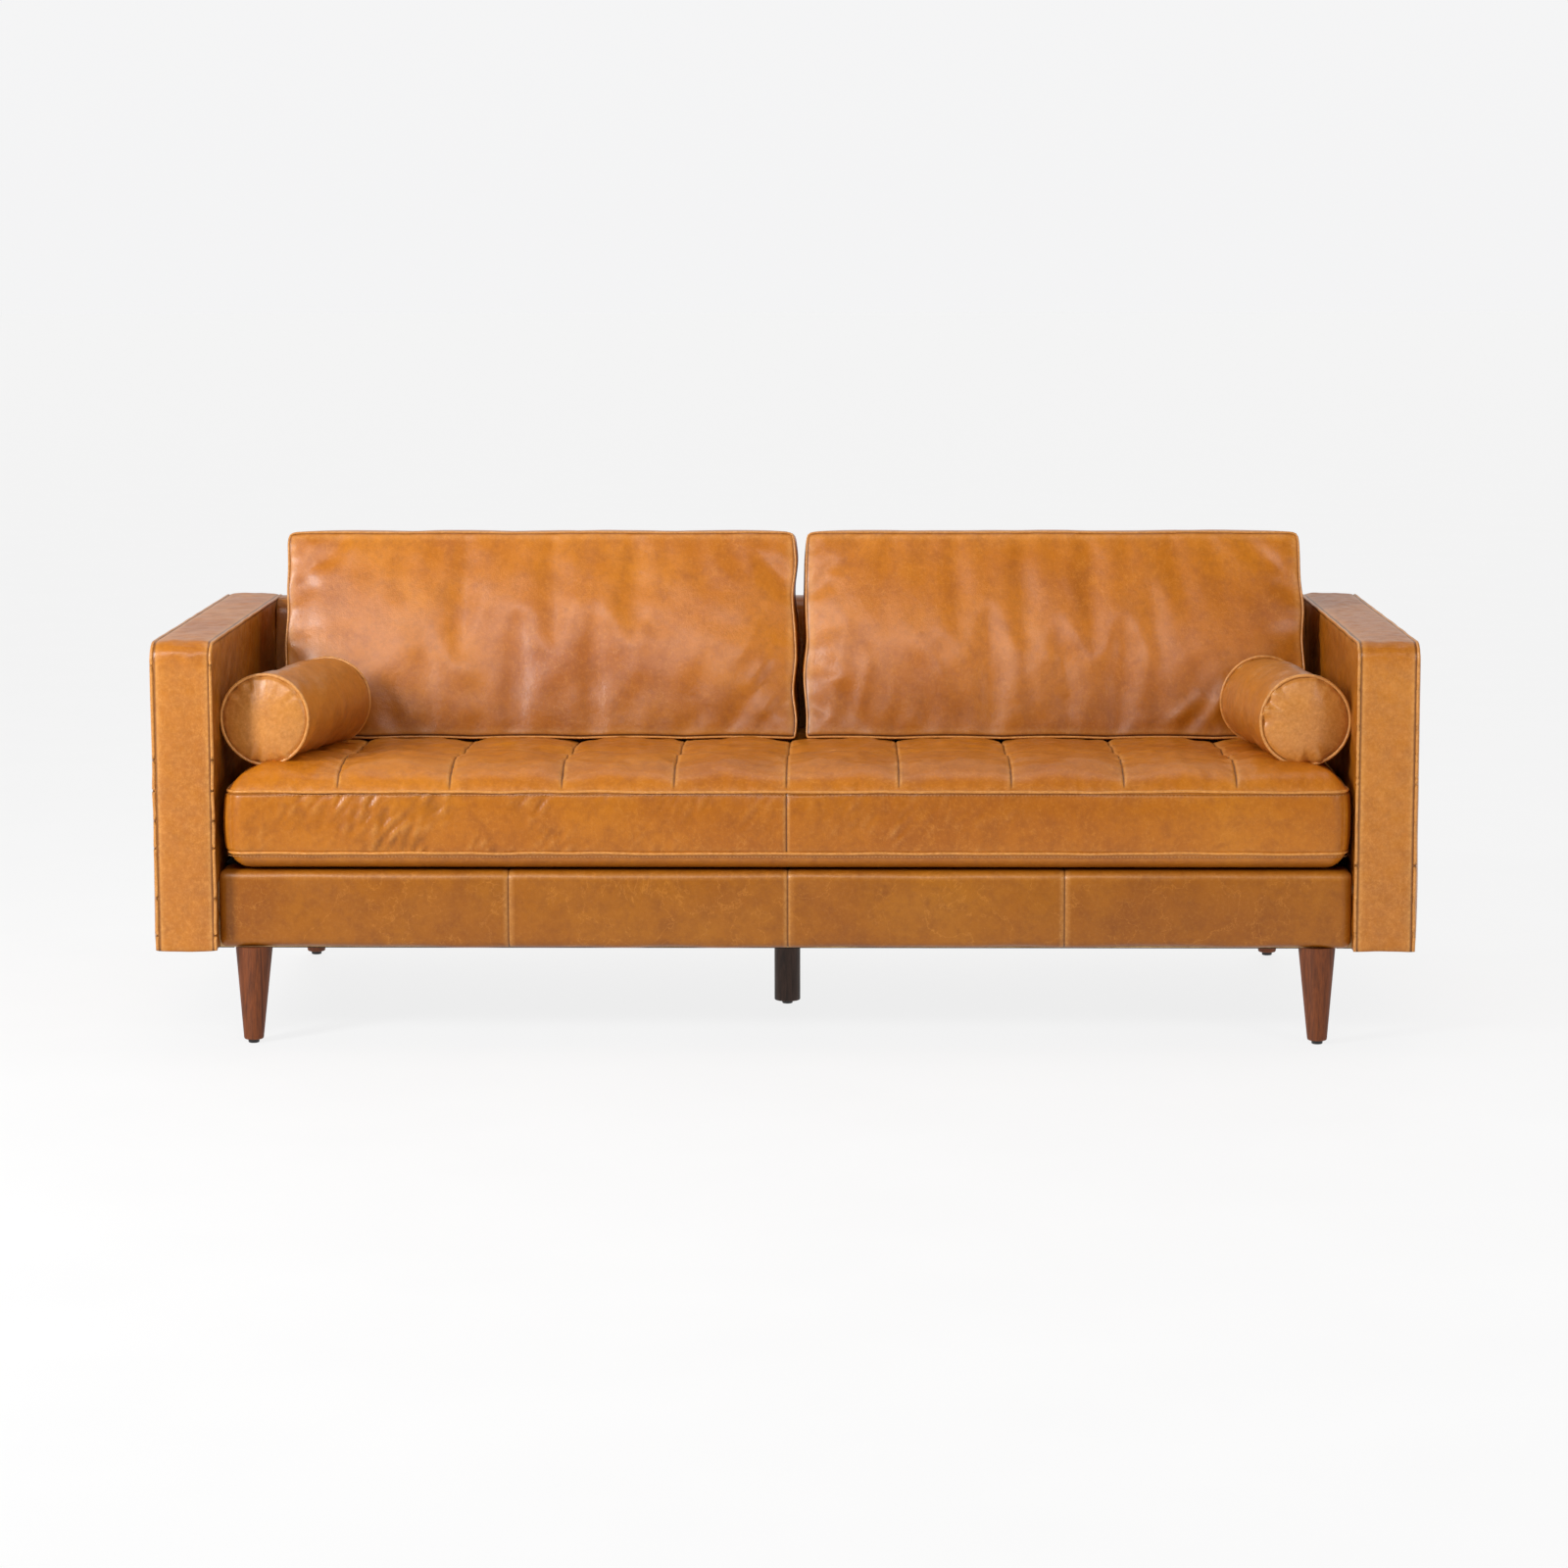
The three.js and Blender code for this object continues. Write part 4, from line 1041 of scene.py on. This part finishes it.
def cushion_form(low_x, high_x):
    """Cube points mapped to the plain wedge that a back cushion is cut to."""
    half = (high_x - low_x) / 2
    tall = CUSHION_FRONT[1][1] - CUSHION_FRONT[0][1]
    cube, quads = shell((round(2 * half / CUSHION_STEP), CUSHION_ROWS, round(tall / CUSHION_STEP)))
    t, s = (cube[:, 2:] + 1) / 2, (cube[:, 1:2] + 1) / 2
    front = lerp(np.array(CUSHION_FRONT[0])[None], np.array(CUSHION_FRONT[1])[None], t)
    rear = lerp(np.array(CUSHION_REAR[0])[None], np.array(CUSHION_REAR[1])[None], t)
    side = lerp(front, rear, s)
    x = cube[:, 0] * half
    reach_x = np.maximum(CUSHION_ROUND - (half - np.abs(x)), 0)
    reach_z = np.maximum(CUSHION_ROUND - (1 - t[:, 0]) * tall, 0)
    both = (reach_x > 0) & (reach_z > 0)
    scale = np.where(both, np.maximum(reach_x, reach_z) / np.maximum(np.hypot(reach_x, reach_z), 1e-9), 1)
    x = x - np.sign(x) * reach_x * (1 - scale)
    z = side[:, 1] - reach_z * (1 - scale)
    return cube, quads, np.stack([x + (low_x + high_x) / 2, side[:, 0], z], 1)


def cushion_skin(place_name):
    facts = CUSHIONS[place_name]
    cube, quads, plain = cushion_form(*facts["x"])
    u, v, w = cube.T
    # The points along the cover's seams, which stay pinned.
    seam = (np.abs(v) > 0.999) & ((np.abs(u) > 0.999) | (np.abs(w) > 0.999))
    low_corner = (w < -0.999) | ((v > 0.999) & (w < 0.2))
    swollen = inflate(plain, quads, low_corner | seam, CUSHION_PRESSURE, CUSHION_SHRINK, CUSHION_CAP)
    firm = np.where((w > 0.999) | (np.abs(u) > 0.999), BOXING_GIVE, 1.0)
    swollen = lerp(plain, swollen, firm[:, None])
    return refine(swollen, quads, cube, CUSHION_REFINE)


def rest_on_seat(where, w):
    """The cushion's underside follows the seat's pillows, but fills only the top of their valleys."""
    edge = np.minimum(SEAT_HALF - np.abs(where[:, 0] - SEAT_X), SEAT_REAR - where[:, 1])
    crown, valley = seat_pillows(where[:, 0], where[:, 1], np.clip(edge, 0, 1))
    surface = crown - CUSHION_SINK * (1 - np.exp(-valley / CUSHION_SINK)) + SEAT_CLEARANCE
    near = smooth(0.055, 0.0, where[:, 2] - surface)
    under = np.where(w < -0.999, surface, np.maximum(where[:, 2], surface))
    settled = np.where(w < -0.999, under, where[:, 2] + near * (surface - CUSHION_FRONT[0][1]))
    where[:, 2] = np.maximum(settled, surface)


def rim(cube, where, v):
    """The mesh points round the edge of the front or rear face, in order."""
    on_edge = (np.abs(cube[:, 0]) > ON_FACE) | (np.abs(cube[:, 2]) > ON_FACE)
    on = (np.abs(cube[:, 1] - v) < 1e-4) & on_edge
    angle = np.arctan2(cube[on, 2], cube[on, 0])
    return where[on][np.argsort(angle)]


def add_back_cushion(place_name):
    facts = CUSHIONS[place_name]
    low_x, high_x = facts["x"]
    where, quads, cube = cushion_skin(place_name)
    u, v, w = cube.T
    front = v < -0.999
    face = where[:, [0, 2]]
    folds = sum(crease(face, *fold) for fold in facts["folds"])
    soft = 0.0012 * waves(face, 0.26, facts["seed"]) + 0.0003 * waves(face, 0.07, facts["seed"] + 1)
    edge = np.minimum((1 - np.abs(u)) * (high_x - low_x) / 2, (1 - np.abs(w)) * CUSHION_HALF_TALL)
    where[:, 1] -= np.where(front, (folds + soft) * smooth(0, 0.05, edge), 0)
    where[:, 0] += 0.0016 * waves(face, 0.11, facts["seed"] + 2) * np.abs(u) ** 8
    where[:, 2] += 0.0004 * waves(where[:, :1], 0.25, facts["seed"] + 3) * smooth(0.9, 1.0, w)
    rest_on_seat(where, w)
    # Paler along the edges with wear, and paler on the fold crests as a painted highlight.
    wear = 0.45 * bell(edge, 0.010, 0.006) * front + 20 * np.clip(folds, 0, 0.004) * front
    seam = 0.8 * bell(edge, 0.0030, 0.0022) * (np.abs(v) > 0.999)
    # Painted shade: darker towards the bottom, where the cushion meets the seat.
    seam += 0.34 * smooth(0.68, 0.49, where[:, 2])
    body = f"back_cushion_{place_name}"
    piece = make(f"{body}_leather", where, quads, LEATHER_BACK, wear=np.clip(wear, 0, 1), seam=seam)
    place(piece, body, "leather", f"{body}_cover", f"{body}_core")
    for name, side in (("front", -1), ("rear", 1)):
        path = resample(rim(cube, where, side), 0.006, closed=True)
        welt = tube(f"{body}_welt_{name}", path, CUSHION_WELT, LEATHER_WELT, closed=True, sides=8)
        place(welt, body, "leather")


# ---------------------------------------------------------------- bolsters

BOLSTER_R = 0.0795
BOLSTER_LONG = 0.392
BOLSTER_CROWN = 0.015  # how far the round ends swell
BOLSTER_GATHER = 0.0040  # height of the gathers where an end meets its piping
BOLSTER_TURNS = 128
BOLSTER_RINGS = 70  # between the ends
CAP_RINGS = 25  # on each end
CAP_PAINTED_LIGHT = 0.6  # the ends are painted paler: painted light
PIPING = 0.0029
BOLSTER_ENDS = {
    "left": ((-0.9205, -0.403, 0.573), (-0.855, -0.018, 0.562)),
    "right": ((0.9205, -0.395, 0.570), (0.885, -0.005, 0.562)),
}


def bolster_form():
    """A roll along Y: the radius and place along Y of each ring, the angles round it, and all the points."""
    half = BOLSTER_LONG / 2
    cap = np.linspace(0, 1, CAP_RINGS + 1)[1:] ** 0.8
    profile = [(BOLSTER_R * 0.985 * c, -half - BOLSTER_CROWN * (1 - c**2.4)) for c in cap]
    body = np.linspace(-half + 0.004, half - 0.004, BOLSTER_RINGS)
    profile += [(BOLSTER_R * (1 + 0.012 * math.cos(math.pi * b / BOLSTER_LONG)), b) for b in body]
    profile += [(radius, -along) for radius, along in reversed(profile[:CAP_RINGS])]
    profile = np.array(profile)
    angles = np.arange(BOLSTER_TURNS) / BOLSTER_TURNS * 2 * math.pi
    radius, along = profile[:, 0][:, None], profile[:, 1][:, None]
    grid = np.stack([radius * np.cos(angles), along + 0 * angles, radius * np.sin(angles)], -1)
    return profile, angles, grid


def add_bolster_tab(place_name, to_world):
    """The little leather loop at the lower front edge, which helps to pull the zip."""
    across = np.linspace(-0.007, 0.007, 7)
    drop = np.linspace(0, 1, 9)
    a, d = np.meshgrid(across, drop, indexing="ij")
    half = BOLSTER_LONG / 2
    front = np.stack([a, -half + 0.004 - 0.004 * np.sin(math.pi * d), -BOLSTER_R - 0.012 * d + 0.002], -1)
    rear = front + np.array([0, 0.0045, 0])
    points = np.concatenate([front.reshape(-1, 3), rear.reshape(-1, 3)])
    rows, columns = len(across), len(drop)
    index = np.arange(rows * columns).reshape(rows, columns)
    sheet = np.stack([index[:-1, :-1], index[1:, :-1], index[1:, 1:], index[:-1, 1:]], -1).reshape(-1, 4)
    ring = np.concatenate([index[:, 0], index[-1, 1:], index[-2::-1, -1], index[0, -2:0:-1]])
    after = np.roll(ring, -1)
    shift = rows * columns
    edge = np.stack([after, ring, ring + shift, after + shift], -1)
    quads = np.concatenate([sheet, sheet[:, ::-1] + shift, edge])
    turn = np.array(to_world)
    placed = points @ turn[:3, :3].T + turn[:3, 3]
    tab = make(f"bolster_tab_{place_name}", placed, quads, LEATHER_WELT, wear=np.full(len(points), 0.3))
    place(tab, f"bolster_{place_name}", "leather")


def shape_bolster(profile, angles, grid, share, on_cap, seed):
    """Gathers and a dished edge on the ends, and a soft sag along the roll."""
    ring = np.stack([np.cos(angles), np.sin(angles)], 1)
    gather = waves(ring, 0.32, seed, 20) * smooth(-0.3, 0.8, waves(ring, 2.2, seed + 1))
    end = np.sign(profile[:, 1])[:, None]
    ripple = BOLSTER_GATHER * gather[None] * (share[:, None] ** 5) * on_cap[:, None]
    grid[:, :, 1] += ripple * end
    dish = bell(share, 0.97, 0.035)[:, None] * on_cap[:, None]
    grid[:, :, 1] -= 0.0035 * dish * end
    places = grid.reshape(-1, 3)
    sag = 0.0016 * waves(places, 0.2, seed + 2).reshape(grid.shape[:2])
    sag += 0.0006 * waves(places, 0.05, seed + 3).reshape(grid.shape[:2])
    sag *= ~on_cap[:, None]
    grid[:, :, 0] += sag * np.cos(angles)
    grid[:, :, 2] += sag * np.sin(angles)


def bolster_faces(count):
    """Quads along the roll, and a fan of triangles to the middle of each end."""
    turns = BOLSTER_TURNS
    front_middle, rear_middle, last = count * turns, count * turns + 1, (count - 1) * turns
    faces = ring_quads(count, turns)[:, ::-1].tolist()
    faces += [(front_middle, k, (k + 1) % turns) for k in range(turns)]
    faces += [(rear_middle, last + (k + 1) % turns, last + k) for k in range(turns)]
    return faces


def face_outward(mesh):
    bm = bmesh.new()
    bm.from_mesh(mesh)
    bmesh.ops.recalc_face_normals(bm, faces=bm.faces)
    bm.to_mesh(mesh)
    bm.free()


def add_bolster_piping(place_name, to_world, seed):
    ahead = to_world.to_3x3() @ Vector((0, 1, 0))
    for name, sign in (("front", -1), ("rear", 1)):
        loop = []
        for a in np.linspace(0, 2 * math.pi, 121)[:-1]:
            r = BOLSTER_R + 0.0004 + 0.0006 * math.sin(3 * a + seed)
            y = sign * (BOLSTER_LONG / 2 - 0.001) + 0.0007 * math.sin(5 * a + seed)
            loop.append(to_world @ Vector((r * math.cos(a), y, r * math.sin(a))))
        up = [ahead] * len(loop)
        label = f"bolster_piping_{name}_{place_name}"
        # The piping is painted palest: partly wear, partly a painted highlight.
        piping = tube(label, loop, PIPING, LEATHER_WELT, closed=True, up=up, wear=1.0)
        place(piping, f"bolster_{place_name}", "leather")


def add_bolster(place_name, seed):
    profile, angles, grid = bolster_form()
    count = len(profile)
    share = np.minimum(profile[:, 0] / BOLSTER_R, 1)
    ring = np.arange(count)
    on_cap = (ring < CAP_RINGS) | (ring >= count - CAP_RINGS)
    shape_bolster(profile, angles, grid, share, on_cap, seed)
    reach = BOLSTER_LONG / 2 + BOLSTER_CROWN
    points = np.vstack([grid.reshape(-1, 3), [(0, -reach, 0), (0, reach, 0)]])
    # Paler at the rim by the piping with wear, and the ends painted paler all over as painted light.
    wear = np.repeat(0.4 * bell(share, 0.98, 0.03) + CAP_PAINTED_LIGHT * on_cap, BOLSTER_TURNS)
    wear = np.concatenate([wear, [CAP_PAINTED_LIGHT, CAP_PAINTED_LIGHT]])
    seam = np.concatenate([np.repeat(0.7 * bell(share, 0.962, 0.006) * on_cap, BOLSTER_TURNS), [0, 0]])
    front, rear = (Vector(p) for p in BOLSTER_ENDS[place_name])
    turn = Vector((0, 1, 0)).rotation_difference(rear - front).to_matrix().to_4x4()
    to_world = Matrix.Translation((front + rear) / 2) @ turn
    label = f"bolster_leather_{place_name}"
    roll = make(label, points, bolster_faces(count), LEATHER_BOLSTER, wear=wear, seam=seam)
    roll.data.transform(to_world)
    face_outward(roll.data)
    body = f"bolster_{place_name}"
    place(roll, body, "leather", f"{body}_cover", f"{body}_core")
    add_bolster_tab(place_name, to_world)
    add_bolster_piping(place_name, to_world, seed)


# ---------------------------------------------------------------- legs and frame

LEG_RAKE = math.atan2(27, 171)
LEG_TOP = 0.1707
# radius at the foot and at the top, height of the foot and of the top, rounding at the foot
TAPERED_LEG = (0.0176, 0.033, 0.0066, LEG_TOP, 0.0032)
CENTRE_LEG = (0.024, 0.024, 0.0068, LEG_TOP, 0.002)
GLIDE = (0.0098, 0.0102, 0.0, 0.0071, 0.0018)
LEG_TURNS = 72
GLIDE_TURNS = 48
SHARP_ANGLE = math.radians(40)


def lathe(name, profile, turns, material, to_world):
    """A turned piece: (radius, height) points from the axis back to the axis."""
    profile = np.array(profile)
    angles = np.arange(turns) / turns * 2 * math.pi
    radius, height = profile[1:-1, 0][:, None], profile[1:-1, 1][:, None]
    grid = np.stack([radius * np.cos(angles), radius * np.sin(angles), height + 0 * angles], -1)
    points = np.vstack([grid.reshape(-1, 3), [(0, 0, profile[0, 1]), (0, 0, profile[-1, 1])]])
    count = len(radius)
    faces = ring_quads(count, turns).tolist()
    low, high = count * turns, count * turns + 1
    faces += [(low, (j + 1) % turns, j) for j in range(turns)]
    faces += [(high, (count - 1) * turns + j, (count - 1) * turns + (j + 1) % turns) for j in range(turns)]
    piece = make(name, points, faces, material)
    piece.data.transform(to_world)
    piece.data.set_sharp_from_angle(angle=SHARP_ANGLE)
    return piece


def rounded_foot(radius, top_radius, bottom, top, fillet):
    """A leg's profile: a rounded lower edge, then a straight taper."""
    profile = [(0, bottom)]
    for a in np.linspace(0, math.pi / 2, 7):
        profile.append((radius - fillet + fillet * math.sin(a), bottom + fillet - fillet * math.cos(a)))
    for t in np.linspace(0.1, 1, 10):
        profile.append((lerp(radius, top_radius, t), lerp(bottom + fillet, top, t)))
    profile.append((0, top))
    return profile


def at_glide(name):
    """The move that takes a piece turned at the origin to that leg's place on the floor."""
    low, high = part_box(f"glide_{name}")
    return Matrix.Translation(((low.x + high.x) / 2, (low.y + high.y) / 2, 0))


def add_legs():
    for name in CORNERS:
        end = 1 if "rear" in name else -1
        shear = Matrix.Identity(4)
        shear[1][2] = -end * math.tan(LEG_RAKE)
        leg = lathe(f"leg_wood_{name}", rounded_foot(*TAPERED_LEG), LEG_TURNS, WALNUT, at_glide(name) @ shear)
        place(leg, "frame", "walnut", f"leg_{name}")
    centre = lathe("leg_wood_centre", rounded_foot(*CENTRE_LEG), LEG_TURNS, DARK_WOOD, at_glide("centre"))
    place(centre, "frame", "dark_wood", "leg_centre")
    for name in (*CORNERS, "centre"):
        glide = lathe(f"glide_nub_{name}", rounded_foot(*GLIDE), GLIDE_TURNS, NYLON, at_glide(name))
        place(glide, "frame", "nylon", f"glide_{name}")


def dress_frame():
    """Materials for the CAD pieces that stay as they are."""
    finishes = {"timber": TIMBER, "steel": STEEL, "cloth": DECK_CLOTH}
    slots = {s["node"]: s["material_slot"] for s in frame["record"]["subparts"]}
    for node, piece in frame["nodes"].items():
        material = finishes.get(slots[node])
        if material is None or piece.hide_render:
            continue
        if node == "dust_cover":
            material = DUST_CLOTH
        piece.data.materials.clear()
        piece.data.materials.append(material)


bpy.context.scene.view_settings.view_transform = "Standard"
add_camera()
add_floor()
add_lights()
for place_name, side in SIDES.items():
    add_arm(place_name, side)
add_front_rail()
add_back()
add_seat()
add_back_cushion("left")
add_back_cushion("right")
add_bolster("left", 301)
add_bolster("right", 411)
add_legs()
dress_frame()
